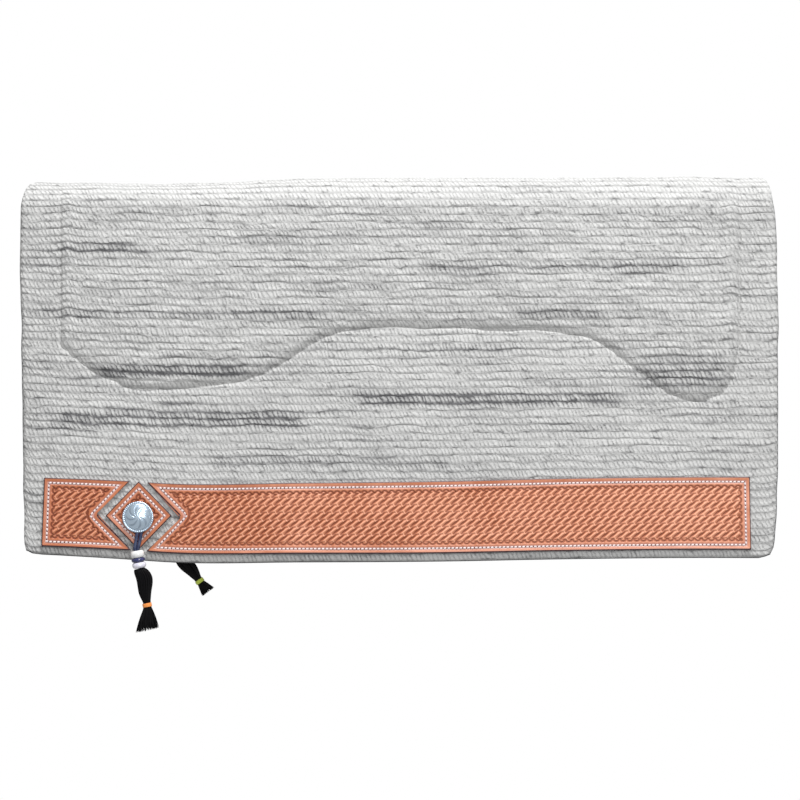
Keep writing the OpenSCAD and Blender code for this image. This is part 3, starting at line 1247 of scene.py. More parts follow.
@dataclass(frozen=True)
class HoleShade:
    """Painted shade: the dark inside of a stitch hole, laid on the leather as a small dark grain."""

    colour: Colour = (0.05, 0.012, 0.008)

    def build(self) -> Material:
        """Makes the material; it reads the piece's own place.

        Returns:
            The material.
        """
        g = Graph("needle_hole_shade")
        rough = g.noise(g.place(), 900.0, 2.0)
        return g.finish(Base_Color=g.mix(rough, self.colour, tuple(c * 2 for c in self.colour)),
                        Roughness=0.9)


# ---------------------------------------------------------------- the layers of cloth


@dataclass
class Puff:
    """How far the cover stands out, from a cloth pressed out between its sewn and held places."""

    shape: PadShape
    cell: float = 6.5 * MM
    frames: int = 18
    pressure: float = 2.4
    cloth: ClassVar[dict[str, float | str | bool]] = {
        "quality": 5, "mass": 0.3, "tension_stiffness": 12, "compression_stiffness": 12,
        "bending_stiffness": 0.6, "use_pressure": True, "vertex_group_mass": "held"}
    panel_most: float = 4.2 * MM
    border_most: float = 2.2 * MM

    def __post_init__(self) -> None:
        """Lays out the grid and fills it."""
        s = self.shape
        self.x = np.linspace(s.front, s.rear, int((s.rear - s.front) / self.cell) + 1)
        self.run = np.linspace(0, s.quarter + s.drop, int((s.quarter + s.drop) / self.cell) + 1)
        x, run = np.meshgrid(self.x, self.run)
        self.to_seam = s.inside_seam(x, run)
        edge = np.minimum(np.minimum(x - s.front, s.rear - x), s.full_run(x) - run)
        self.held = (np.abs(self.to_seam) < 4.5 * MM) | (edge < 6 * MM)
        free = np.minimum(np.abs(self.to_seam), np.maximum(edge, 0))
        raw = 1 - np.exp(-free / (13 * MM))
        raw = self.pressed(x, run)
        most = np.where(self.to_seam > 0, self.panel_most, self.border_most)
        self.height = most * np.tanh(raw * 1.25) / math.tanh(1.25)

    def pressed(self, x: Array, run: Array) -> Array:
        """Presses a cloth out and reads how far it moved.

        Args:
            x: The grid's places along the spine.
            run: The grid's runs.

        Returns:
            The movement, about 1 where it is large.
        """
        rows, columns = x.shape
        both = np.concatenate([-run[:0:-1], run])
        wide = np.concatenate([x[:0:-1], x])
        points = np.stack([wide, both, np.zeros_like(both)], axis=-1).reshape(-1, 3)
        sheet = from_arrays("pressed_sheet", points, grid_faces(2 * rows - 1, columns))
        held = np.concatenate([self.held[:0:-1], self.held]).ravel()
        group = sheet.vertex_groups.new(name="held")
        group.add(np.nonzero(held)[0].tolist(), 1.0, "REPLACE")
        select_only(sheet)
        cloth = sheet.modifiers.new("cloth", "CLOTH")
        for name, value in self.cloth.items():
            setattr(cloth.settings, name, value)
        cloth.settings.uniform_pressure_force = self.pressure
        cloth.settings.effector_weights.gravity = 0.0
        cloth.point_cache.frame_end = self.frames
        for frame in range(1, self.frames + 1):
            bpy.context.scene.frame_set(frame)
        deselect_all()
        seen = sheet.evaluated_get(bpy.context.evaluated_depsgraph_get())
        moved = np.zeros(len(points) * 3, np.float32)
        seen.data.vertices.foreach_get("co", moved)
        bpy.data.objects.remove(sheet)
        bpy.context.scene.frame_set(1)
        risen = np.abs(moved.reshape(2 * rows - 1, columns, 3)[rows - 1:, :, 2])
        scale = float(np.percentile(risen[~self.held], 85))
        log.info("pressed cloth: %.1f mm at its usual height", scale / MM)
        return risen / max(scale, 1e-6)

    def at(self, x: Array, run: Array) -> Array:
        """The puff at each place, between the grid's places.

        Args:
            x: Places along the pad.
            run: Runs down from the top of the fold.

        Returns:
            The puff, in metres.
        """
        i = np.clip(np.abs(run) / (self.run[1] - self.run[0]), 0, len(self.run) - 1.001)
        j = np.clip((x - self.x[0]) / (self.x[1] - self.x[0]), 0, len(self.x) - 1.001)
        a, b = i.astype(int), j.astype(int)
        u, v = i - a, j - b
        h = self.height
        return ((h[a, b] * (1 - v) + h[a, b + 1] * v) * (1 - u)
                + (h[a + 1, b] * (1 - v) + h[a + 1, b + 1] * v) * u)


def slab(name: str, outer: Array, inner: Array, rows_kept: int,
         columns_kept: int) -> Piece:
    """A closed slab between a detailed grid and the same grid on its other side, kept coarse.

    Args:
        name: The piece's name.
        outer: The detailed side's points, by row and column.
        inner: The other side's points, in the same layout.
        rows_kept: Every how many rows the other side keeps one.
        columns_kept: Every how many columns it keeps one.

    Returns:
        The slab, with its faces outwards.
    """
    rows, columns = outer.shape[:2]
    down = sorted({*range(0, rows, rows_kept), rows - 1})
    across = sorted({*range(0, columns, columns_kept), columns - 1})
    mask = np.zeros((rows, columns), bool)
    mask[np.ix_(down, across)] = True
    mask[[0, -1]] = True
    mask[:, [0, -1]] = True
    index = np.full((rows, columns), -1)
    index[mask] = rows * columns + np.arange(mask.sum())
    faces = grid_faces(rows, columns).tolist()
    for i, k in zip(down[:-1], down[1:]):
        for a, b in zip(across[:-1], across[1:]):
            first = [(i, c) for c in (range(a, b + 1) if i == 0 else (a, b))]
            right = [(q, b) for q in (range(i + 1, k) if b == columns - 1 else ())]
            last = [(k, c) for c in reversed(range(a, b + 1) if k == rows - 1 else (a, b))]
            left = [(q, a) for q in (reversed(range(i + 1, k)) if a == 0 else ())]
            faces.append([index[spot] for spot in first + right + last + left][::-1])
    ring = rim_of(rows, columns)
    flat = index.ravel()
    faces.extend([q, p, flat[p], flat[q]] for p, q in zip(ring, np.roll(ring, -1)))
    piece = from_arrays(name, np.concatenate([outer.reshape(-1, 3), inner[mask]]), faces)
    across_row = outer[rows // 2, 1] - outer[rows // 2, 0]
    down_row = outer[rows // 2 + 1, 0] - outer[rows // 2, 0]
    if np.cross(across_row, down_row) @ (outer[rows // 2, 0] - inner[rows // 2, 0]) < 0:
        piece.data.flip_normals()
    return piece


@dataclass
class Layer:
    """One layer of the pad, in four pieces: a fold and a flap on each side."""

    name: str
    slot: str
    low_r: float
    high_r: float
    column: float
    fill: float
    shape: PadShape
    finish: Material
    rib_rows: int = 1
    inset: float = 0.0
    round_r: float = 3 * MM
    edge_reach: float = 45 * MM
    flap_ribs: int = 50
    fold_ribs: int = 3
    seams: tuple[float, ...] = ()
    kept: tuple[int, int] = (3, 3)

    def places(self, side: Side, flap: bool) -> tuple[Array, Array, Array]:
        """The x, the run and the count of ribs at each point of one piece's grid.

        Args:
            side: Which side.
            flap: Whether it is the flap's piece.

        Returns:
            Three grids of one shape.
        """
        s = self.shape
        nominal = spaced_places(s.front, s.rear, self.column, self.seams)
        if flap:
            ribs = np.linspace(0, self.flap_ribs, self.flap_ribs * self.rib_rows + 1)
            if self.rib_rows > 1:
                ribs = np.concatenate([ribs[:-2], self.flap_ribs - np.array([0.16, 0.1, 0.05, 0])])
            near_end = ribs / self.flap_ribs
            run = s.split + near_end[:, None] * (s.full_run(nominal) - self.inset - s.split)[None, :]
            counts = ribs + self.fold_ribs
        else:
            counts = np.linspace(0, self.fold_ribs, self.fold_ribs * max(self.rib_rows, 4) + 1)
            run = np.repeat((counts / self.fold_ribs * s.split)[:, None], len(nominal), axis=1)
        front, rear = s.edges(run)
        share = (nominal - s.front)[None, :]
        to_front = (front + self.inset - s.front) * np.exp(-share / self.edge_reach)
        to_rear = (rear - self.inset - s.rear) * np.exp(-(s.rear - nominal)[None, :] / self.edge_reach)
        return nominal[None, :] + to_front + to_rear, run, np.repeat(counts[:, None], len(nominal), axis=1)

    def rounded(self, x: Array, run: Array, flap: bool) -> Array:
        """How far each place draws in towards the slab's middle near its edges.

        Args:
            x: Places along the pad.
            run: Runs down from the top of the fold.
            flap: Whether it is the flap's piece.

        Returns:
            The way in, in metres.
        """
        s = self.shape
        front, rear = s.edges(run)
        edge = np.minimum(x - front, rear - x) - self.inset
        if flap:
            edge = np.minimum(edge, s.full_run(x) - self.inset - run)
        return self.round_r * rounding(edge, self.round_r)

    def outside(self, x: Array, run: Array, ribs: Array, side: Side) -> Array:
        """The outer side's distance out."""
        return np.full(x.shape, self.high_r)

    def within(self, x: Array, run: Array, ribs: Array, side: Side) -> Array:
        """The inner side's distance out."""
        return np.full(x.shape, self.low_r)

    def lift(self, x: Array, run: Array) -> Array:
        """How far the layer's own ribs stray up from their places."""
        return np.zeros(x.shape)

    def dress(self, piece: Piece, x: Array, ribs: Array, side: Side) -> None:
        """Gives a piece its finish; a layer with its own map adds that.

        Args:
            piece: The piece.
            x: Its grid's places along the pad.
            ribs: Its grid's count of ribs.
            side: Which side.
        """
        piece.data.materials.append(self.finish)
        smooth(piece, 60)

    def make(self, side: Side, flap: bool) -> Piece:
        """Makes one piece, and hides the nodes that it stands for.

        Args:
            side: Which side.
            flap: Whether to make the flap's piece.

        Returns:
            The piece.
        """
        s = self.shape
        x, run, ribs = self.places(side, flap)
        drawn = self.rounded(x, run, flap)
        up = np.zeros(x.shape + (3,))
        up[..., 2] = self.lift(x, run)
        outer = s.point(x, run, self.outside(x, run, ribs, side) - drawn, side) + up
        thick = self.within(x, run, ribs, side) + np.minimum(drawn, self.round_r * 0.3)
        inner = s.point(x, run, thick, side) + up
        if self.detail_inside():
            outer, inner = inner, outer
        place = "flap" if flap else "fold"
        piece = slab(side.of(f"{place}_{self.name}_soft"), outer, inner, *self.kept)
        self.dress(piece, x, ribs, side)
        nodes = [side.of(f"{'flap' if flap else 'bend'}_{self.name}")]
        if side is Side.NEAR and not flap:
            nodes.append(f"spine_{self.name}")
        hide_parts(*nodes)
        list(s.blend_line(not flap, self.low_r, side))
        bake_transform(piece)
        return piece

    def detail_inside(self) -> bool:
        """Whether the detailed side is the one that faces the horse."""
        return False

    def build(self) -> list[Piece]:
        """Makes the layer's four pieces."""
        return [self.make(side, flap) for side in Side for flap in (False, True)]


@dataclass
class DarkRun:
    """A stretch of darker yarn along the ribs.

    Its x runs from start to end; z is its middle height and tall its height.
    """

    start: float
    end: float
    z: float
    tall: float
    strength: float


@dataclass
class WoolCover(Layer):
    """The woven cover, ribbed, puffed between its seams and drawn in along the contour seam."""

    puff: Puff | None = None
    border_base: float = 26.1 * MM
    panel_base: float = 28.3 * MM
    groove: float = 1.9 * MM
    groove_half: float = 1.2 * MM
    kink: float = 2.2 * MM
    off_count: float = 100.0
    rib_height: float = 0.9 * MM
    loop: float = 4.6 * MM
    dark_runs: tuple[DarkRun, ...] = (
        DarkRun(-0.313, -0.167, -0.170, 0.011, 0.75), DarkRun(-0.354, -0.104, -0.221, 0.017, 0.50),
        DarkRun(-0.041, 0.230, -0.200, 0.013, 0.58), DarkRun(-0.360, -0.281, -0.040, 0.010, 0.40),
        DarkRun(-0.354, -0.083, -0.111, 0.008, 0.36), DarkRun(0.126, 0.209, -0.110, 0.009, 0.36),
        DarkRun(0.251, 0.335, -0.170, 0.034, 0.40), DarkRun(-0.20, 0.05, -0.265, 0.012, 0.34),
        DarkRun(0.02, 0.30, -0.060, 0.009, 0.24), DarkRun(-0.10, 0.12, -0.146, 0.008, 0.22))

    def outside(self, x: Array, run: Array, ribs: Array, side: Side) -> Array:
        """The border and the fuller panel, the groove of the seam between them, and the ribs.

        Args:
            x: Places along the pad.
            run: Runs down from the top of the fold.
            ribs: The count of ribs.
            side: Which side.

        Returns:
            The outer side's distance out.
        """
        gap = self.shape.inside_seam(x, run)
        down = ease(run, 0.0, 110 * MM)
        stand = ease(gap, -1 * MM, 9 * MM)
        puff = self.puff.at(x, run)
        border = self.border_base + 2.6 * MM * (1 - down)
        base = border * (1 - stand) + self.panel_base * stand + puff
        groove = self.groove * (0.25 + 0.75 * down) * np.exp(-(gap / self.groove_half) ** 2)
        seed = 5 if side is Side.NEAR else 9
        uneven = (ripple(x, run * 1.6, 46 * MM, seed) * 0.45 * MM
                  + ripple(x, run * 3, 14 * MM, seed + 1) * 0.22 * MM)
        free = ease(self.shape.full_run(x) - run, 90 * MM, 104 * MM) * 0.75 + 0.25
        ribbed = (dome(part(ribs)) - 0.75) * self.rib_height
        return base - groove + (ribbed + uneven * (0.35 + 0.65 * stand)) * free

    def within(self, x: Array, run: Array, ribs: Array, side: Side) -> Array:
        """Flat on the felt in the border, and raised over the insert."""
        gap = self.shape.inside_seam(x, run)
        return self.low_r + 5 * MM * ease(gap, -3 * MM, 4 * MM)

    def lift(self, x: Array, run: Array) -> Array:
        """The ribs rise just inside the upright seams and wander a little.

        Args:
            x: Places along the pad.
            run: Runs down from the top of the fold.

        Returns:
            The rise, in metres.
        """
        s = self.shape
        front, rear = s.front + s.seam_front, s.rear - s.seam_rear
        upper = ease(-(run - s.quarter), -150 * MM, -120 * MM) * ease(run, 24 * MM, 50 * MM)
        kinks = (np.exp(-((x - front - 8 * MM) / (7 * MM)) ** 2)
                 + np.exp(-((x - rear + 8 * MM) / (7 * MM)) ** 2)) * self.kink
        edge = ease(s.full_run(x) - run, 0, 60 * MM) * ease(run, 26 * MM, 60 * MM)
        stray = ripple(x, run * 2, 60 * MM, 3) + ripple(x, run * 4, 22 * MM, 4) * 0.5
        return kinks * upper + stray * 0.8 * MM * edge

    def dress(self, piece: Piece, x: Array, ribs: Array, side: Side) -> None:
        """Adds the map that counts loops and ribs, and the darker yarn, with painted light that lightens the
        top of the fold.

        Args:
            piece: The piece.
            x: Its grid's places along the pad.
            ribs: Its grid's count of ribs.
            side: Which side.
        """
        points = np.array([v.co for v in piece.data.vertices])
        number = x.size
        loops, counts = np.zeros(len(points)), np.zeros(len(points))
        offset = 0.0 if side is Side.NEAR else self.off_count
        loops[:number] = x.ravel() / self.loop
        counts[:number] = ribs.ravel() + offset
        loops[number:] = points[number:, 0] / self.loop
        counts[number:] = (32 * MM - points[number:, 2]) / self.shape.rib_pitch + offset
        dark = ripple(points[:, 0], points[:, 2] * 5 + offset, 150 * MM, 7) * 0.10
        # Darker in the front border, outside the contour seam.
        dark += 0.10 * (1 - ease(points[:, 0], self.shape.front + 34 * MM, self.shape.front + 44 * MM))
        # Painted light: lighter towards the top of the fold, where it turns up towards the lamp.
        dark -= 0.14 * ease(points[:, 2], -10 * MM, 26 * MM)
        if side is Side.NEAR:
            for stretch in self.dark_runs:
                ends = (ease(points[:, 0], stretch.start - 14 * MM, stretch.start + 10 * MM)
                        * (1 - ease(points[:, 0], stretch.end - 10 * MM, stretch.end + 14 * MM)))
                height = 1 - ease(np.abs(points[:, 2] - stretch.z), stretch.tall * 0.35, stretch.tall * 0.75)
                dark += stretch.strength * ends * height
        set_uv(piece, "cloth", np.stack([loops, counts], axis=1))
        set_attribute(piece, "dark_yarn", dark)
        super().dress(piece, x, ribs, side)


@dataclass
class Fleece(Layer):
    """The fleece lining, tufted on the side that lies on the horse."""

    def within(self, x: Array, run: Array, ribs: Array, side: Side) -> Array:
        """Tufts over the flaps, lower on the rail."""
        tufts = ripple(x, run, 9 * MM, 21) * 0.5 + ripple(x, run, 23 * MM, 22) * 0.5
        return self.low_r + 0.2 * MM + (tufts + 1) * 0.55 * MM * ease(run, 20 * MM, 60 * MM)

    def detail_inside(self) -> bool:
        """The tufts face the horse."""
        return True


@dataclass
class Insert(Layer):
    """The contour insert, which fills the cover's pocket."""

    clear: float = 9 * MM

    def places(self, side: Side, flap: bool) -> tuple[Array, Array, Array]:
        """The grid inside the contour seam.

        Args:
            side: Which side.
            flap: Whether it is the flap's piece.

        Returns:
            Three grids: the x, the run and the count of ribs.
        """
        s = self.shape
        x = np.linspace(s.front + s.seam_front + self.clear, s.rear - s.seam_rear - self.clear, 84)
        if flap:
            share = np.linspace(0, 1, 30)
            line = s.seam()
            low = np.interp(x, line[:, 0], line[:, 1]) - self.clear
            run = s.split + share[:, None] * (low - s.split)[None, :]
        else:
            share = np.linspace(0, 1, 9)
            run = np.repeat(share[:, None] * s.split, len(x), axis=1)
        return np.repeat(x[None, :], len(share), axis=0), run, np.repeat(share[:, None], len(x), axis=1)

    def rounded(self, x: Array, run: Array, flap: bool) -> Array:
        """Draws the edges in."""
        return self.round_r * rounding(self.shape.inside_seam(x, run) - self.clear, self.round_r, 0.99)


# ---------------------------------------------------------------- the wear leathers


@dataclass
class WearLeathers:
    """One side's front strip, diamond and rear strip, tooled and stitched."""

    shape: PadShape
    side: Side
    leather: Material
    thread: Material
    # Painted shade for the needle holes.
    hole: Material
    tooling: StampedLeather
    concho: Pair
    strip_h: float = 76 * MM
    front_gap: float = 21 * MM
    rear_gap: float = 27 * MM
    half: Pair = (34.3 * MM, 35.5 * MM)
    notch: float = 9.4 * MM
    stitch_pitch: float = 4.1 * MM
    stitch_size: tuple[float, float, float] = (0.95 * MM, 0.55 * MM, 1.62 * MM)
    hole_shade_size: tuple[float, float, float] = (0.55 * MM, 0.30 * MM, 0.80 * MM)
    bevel_deep: float = 0.75 * MM
    bevel_wide: float = 1.4 * MM
    cell: float = 1.05 * MM

    def strip_line(self, x: Array, share: float) -> Array:
        """The z of a line at a share of the strip's height above its lower edge.

        Args:
            x: Places along the pad.
            share: 0 for the lower edge, 1 for the upper.

        Returns:
            The line's z.
        """
        tall = np.interp(x, (-0.373, -0.262, 0.0, 0.2), (71.6 * MM, 72.4 * MM, 75 * MM, self.strip_h))
        up = np.interp(x, (-0.373, -0.28, -0.25, 0.0), np.array([8.3, 9.4, 9.2, 8.2]) * MM)
        return -(self.shape.bottom(x) - up) + tall * share

    def strip_frame(self, name: str) -> tuple[float, ...]:
        """A strip's way from the concho, its notch's half width and height, its end's x, and its lowest
        and highest z beside the notch.

        Args:
            name: Which strip.

        Returns:
            The six, in that order.
        """
        front = name == "front"
        end = self.shape.front + self.front_gap if front else self.shape.rear - self.rear_gap
        low, high = (float(self.strip_line(np.array(self.concho[0]), share)) for share in (0, 1))
        return -1 if front else 1, self.half[0] + self.notch, self.half[1] + self.notch, end, low, high

    def corners(self, name: str) -> Array:
        """A leather's sharp corners as x and z, anticlockwise with x to the right.

        Args:
            name: Which leather.

        Returns:
            A row of two for each corner.
        """
        cx, cz = self.concho
        if name == "diamond":
            wide, tall = self.half
            return np.array([(cx, cz - tall), (cx + wide, cz), (cx, cz + tall), (cx - wide, cz)])
        sign, wide, tall, end, low, high = self.strip_frame(name)
        at_low = cx + sign * max(wide * (1 - (cz - low) / tall), 1.2 * MM)
        at_high = cx + sign * max(wide * (1 - (high - cz) / tall), 1.2 * MM)
        lean = self.end_lean(name) / 2
        top = np.linspace(at_high, end + lean, 40)
        bottom = np.linspace(end - lean, at_low, 40)
        corners = np.concatenate([
            np.stack([top, self.strip_line(top, 1)], axis=1),
            np.stack([bottom, self.strip_line(bottom, 0)], axis=1), [[cx + sign * wide, cz]]])
        return corners if sign < 0 else corners[::-1]

    def outline(self, name: str) -> Array:
        """A leather's outline with its corners rounded."""
        return self.softened(self.corners(name), 2.1 * MM)

    def end_lean(self, name: str) -> float:
        """How much further back a strip's outer end is at its top than at its bottom."""
        return 3.0 * MM if name == "front" else -1.4 * MM

    @staticmethod
    def softened(corners: Array, radius: float) -> Array:
        """Rounds an outline's sharp corners.

        Args:
            corners: The corners, in order.
            radius: The rounding's radius.

        Returns:
            The rounded outline's points.
        """
        points = []
        for before, here, after in zip(np.roll(corners, 1, axis=0), corners, np.roll(corners, -1, axis=0)):
            a, b = before - here, after - here
            la, lb = np.hypot(*a), np.hypot(*b)
            if (a @ b) / (la * lb) < -0.94:
                points.append(here)
                continue
            back, on = here + a / la * min(radius, la / 2), here + b / lb * min(radius, lb / 2)
            for t in np.linspace(0, 1, 6):
                points.append((1 - t) ** 2 * back + 2 * t * (1 - t) * here + t * t * on)
        return np.array(points)

    def grid(self, name: str) -> tuple[Array, Array]:
        """A leather's grid of x and z, which follows its outline.

        Args:
            name: Which leather.

        Returns:
            The grid's x and its z.
        """
        cx, cz = self.concho
        if name == "diamond":
            a = self.shares(int(2 * self.half[0] / self.cell / 1.3))
            wide, tall = self.half
            u, v = np.meshgrid(a, a)
            return cx + (u - v) * wide, cz + (u + v - 1) * tall
        ends = self.shares(int(self.strip_h / self.cell))
        sign, wide, tall, end, low, high = self.strip_frame(name)
        z = low + ends * (high - low)
        start = cx + sign * np.maximum(wide * (1 - np.abs(z - cz) / tall), 1.2 * MM)
        along = self.shares(int(abs(end - cx) / self.cell))
        finish = end + self.end_lean(name) * (ends - 0.5)
        x = start[:, None] + along[None, :] * (finish - start)[:, None]
        low_line, high_line = self.strip_line(x, 0), self.strip_line(x, 1)
        return x, low_line + ends[:, None] * (high_line - low_line)

    @staticmethod
    def shares(number: int) -> Array:
        """Shares from 0 to 1 that stand closer together at both ends.

        Args:
            number: How many even steps they stand for.

        Returns:
            The shares, rising.
        """
        step = 1 / number
        ends = np.array([0, 0.35, 0.75, 1.2, 1.7, 2.3]) * step
        return np.concatenate([ends, np.arange(3, number - 2) * step, (1 - ends)[::-1]])

    def base(self, name: str, x: Array) -> Array:
        """The z that a leather's rows of stamping start from.

        Args:
            name: Which leather.
            x: Places along the pad.

        Returns:
            The z at each place.
        """
        if name == "diamond":
            return np.full(x.shape, self.concho[1] - 5.5 * self.tooling.row)
        return self.strip_line(x, 0) + self.tooling.scallop_in - 0.2 * MM

    def redness(self, name: str, x: Array) -> Array:
        """How deep the stain is: strong at the front, weak in the middle of the long strip.

        Args:
            name: Which leather.
            x: Places along the pad.

        Returns:
            The depth, up to 1.
        """
        if name == "diamond":
            return np.full(x.shape, 1.0)
        return 0.18 + 0.75 * np.exp(-np.maximum(x - self.concho[0] + 30 * MM, 0) / (150 * MM))

    def place(self, x: Array, z: Array, out: Array) -> Array:
        """A point on the side's outer face."""
        return np.stack([x, np.broadcast_to(self.side.out * out, x.shape), z], axis=-1)

    def make(self, name: str) -> Piece:
        """Makes one leather with its tooling.

        Args:
            name: Which leather.

        Returns:
            The leather.
        """
        s = self.shape
        x, z = self.grid(name)
        flat = np.stack([x.ravel(), z.ravel()], axis=1)
        outline = self.outline(name)
        inward, along = (v.reshape(x.shape) for v in to_outline(flat, outline))
        bevel = self.bevel_deep * rounding(inward, self.bevel_wide)
        height = z - self.base(name, x)
        relief = self.tooling.relief(x, height, along, inward) - 0.35 * MM * ease(inward, 0, 3 * MM)
        bowed = ripple(x, z * 2, 70 * MM, 31) * 0.25 * MM
        top = self.place(x, z, s.leather_r - 0.1 * MM + relief - bevel + bowed)
        back = self.place(x, z, np.full(x.shape, s.border_r - 0.4 * MM))
        piece = slab(self.side.of(f"leather_{name}"), top, back, 6, 8)
        points = np.array([v.co for v in piece.data.vertices])
        all_in, all_along = to_outline(points[:, [0, 2]], outline)
        all_in[x.size:] = 0.0
        set_uv(piece, "face", np.stack([points[:, 0], points[:, 2] - self.base(name, points[:, 0])], axis=1))
        set_attribute(piece, "redness", self.redness(name, points[:, 0]))
        set_uv(piece, "edge", np.stack([all_along, all_in], axis=1))
        dressed(piece, self.leather, 50, self.side.of("flap"), "tooled_leather",
                self.side.of(f"wear_leather_{name}"))
        self.stitch(name)
        return piece

    def inset_line(self, corners: Array, by: float) -> Array:
        """The line at a distance inside the corners' outline, with slightly rounded corners.

        Args:
            corners: The corners, in order.
            by: The distance, in metres.

        Returns:
            The line's points.
        """
        ahead = np.roll(corners, -1, axis=0) - corners
        ahead /= np.hypot(*ahead.T)[:, None]
        left = np.stack([-ahead[:, 1], ahead[:, 0]], axis=1)
        mitre = left + np.roll(left, 1, axis=0)
        mitre /= (mitre * left).sum(axis=1)[:, None]
        drawn = corners + mitre * by
        return self.softened(drawn[to_outline(drawn, corners)[0] > by * 0.99], 1.2 * MM)

    @staticmethod
    def grain(rings: int, half_sizes: tuple[float, float, float], turn: float) -> Piece:
        """An egg-shaped grain, scaled and then turned about Y.

        Args:
            rings: How many rings it has.
            half_sizes: Its half sizes, in metres.
            turn: The turn, in radians.

        Returns:
            The grain.
        """
        bpy.ops.mesh.primitive_uv_sphere_add(segments=8, ring_count=rings, radius=1)
        made = bpy.context.object
        made.rotation_euler = (0, turn, 0)
        made.scale = half_sizes
        bpy.ops.object.transform_apply(location=False, rotation=True, scale=True)
        return made

    def stitch(self, name: str) -> None:
        """Sews the border: slanting white stitches with a dark grain at each end, painted shade for the
        inside of its needle hole.

        Args:
            name: Which leather.
        """
        line = self.inset_line(self.corners(name), self.tooling.stitch_in)
        closed = np.concatenate([line, line[:1]])
        lengths = np.concatenate([[0], np.cumsum(np.hypot(*np.diff(closed, axis=0).T))])
        number = int(lengths[-1] / self.stitch_pitch)
        step = lengths[-1] / number
        rng = np.random.default_rng(len(name))
        depth = self.shape.leather_r - 0.60 * MM
        stitches, hole_shades = [], []
        for k in range(number):
            spot, ahead, prick = ([float(np.interp((k + share) * step, lengths, axis)) for axis in closed.T]
                                  for share in (0.5, 0.9, 1.0))
            turn = math.atan2(ahead[1] - spot[1], ahead[0] - spot[0]) + rng.normal(0.16, 0.05)
            where = Vector((spot[0], self.side.out * (depth + rng.normal(0, 0.05 * MM)), spot[1]))
            stitches.append(Matrix.Translation(where) @ Matrix.Rotation(-turn, 4, "Y"))
            hole_shades.append(Matrix.Translation((prick[0], self.side.out * (depth + 0.13 * MM), prick[1])))
        for kind, grain, places, finish in (
                ("stitching", (5, self.stitch_size, math.pi / 2), stitches, self.thread),
                ("needle_holes", (4, self.hole_shade_size, 0.0), hole_shades, self.hole)):
            piece = copies(self.side.of(f"{name}_{kind}"), self.grain(*grain), places)
            dressed(piece, finish, 70, self.side.of("flap"))

    def build(self) -> list[Piece]:
        """Makes the three leathers."""
        return [self.make(name) for name in ("front", "diamond", "rear")]


# ---------------------------------------------------------------- conchos and tassels


@dataclass
class Concho:
    """A domed silver concho with an engraved swirl and a roped rim."""

    side: Side
    centre: Pair
    silver: Material
    back: float = 34.0 * MM
    radius: float = 16.3 * MM
    rim: float = 1.4 * MM
    dome: float = 4.0 * MM
    ropes: int = 46
    petals: int = 8
    cut_deep: float = 0.34 * MM
    forward: float = 0.4 * MM
    sag: float = 1.4 * MM

    def build(self) -> Piece:
        """Makes the concho and presses its engraving into it.

        Returns:
            The concho.
        """
        profile = [(0.0, 0.0), (self.radius - 0.6 * MM, 0.0), (self.radius, 0.35 * MM),
                   (self.radius, 0.9 * MM), (self.radius - 0.3 * MM, self.rim)]
        inner = self.radius - 2.2 * MM
        profile.append((inner + 0.9 * MM, self.rim + 0.25 * MM))
        for k in range(31):
            t = 1 - k / 30
            height = self.rim - 0.1 * MM + self.dome * 0.93 * (1 - t**2.3)
            profile.append((inner * t, height))
        piece = lathe(self.side.of("concho_engraved"), profile, 184)
        points = np.array([v.co for v in piece.data.vertices])
        r = np.hypot(points[:, 0], points[:, 1])
        angle = np.arctan2(points[:, 1], points[:, 0]) / (2 * math.pi)
        front = points[:, 2] > self.rim - 0.2 * MM
        curl = wave(angle * self.petals + r / (9 * MM) + np.sin(r / (2.1 * MM)) * 0.12)
        plain_rim = ease(r, inner - 2.5 * MM, inner - 1 * MM)
        swirl = ease(curl, 0.15, 0.75) * ease(r, 1.5 * MM, 4 * MM) * (1 - plain_rim)
        rope = ease(wave(angle * self.ropes + r / (3.2 * MM)), -0.2, 0.7) * ease(r, inner, inner + 0.5 * MM)
        ring = 1 - ease(np.abs(r - inner + 0.4 * MM), 0.2 * MM, 0.7 * MM)
        cut = np.clip(np.maximum(np.maximum(swirl * 0.9, rope), ring), 0, 1) * front
        points[:, 2] -= cut * self.cut_deep
        piece.data.vertices.foreach_set("co", points.astype(np.float32).ravel())
        set_attribute(piece, "engraved", cut)
        out = self.side.out
        piece.data.transform(Matrix(((1, 0, 0, self.centre[0] - self.forward), (0, 0, out, out * self.back),
                                     (0, -out, 0, self.centre[1] - self.sag), (0, 0, 0, 1))))
        recalculate(piece)
        return dressed(piece, self.silver, 45, self.side.of("flap"), "concho_silver", self.side.of("concho"))


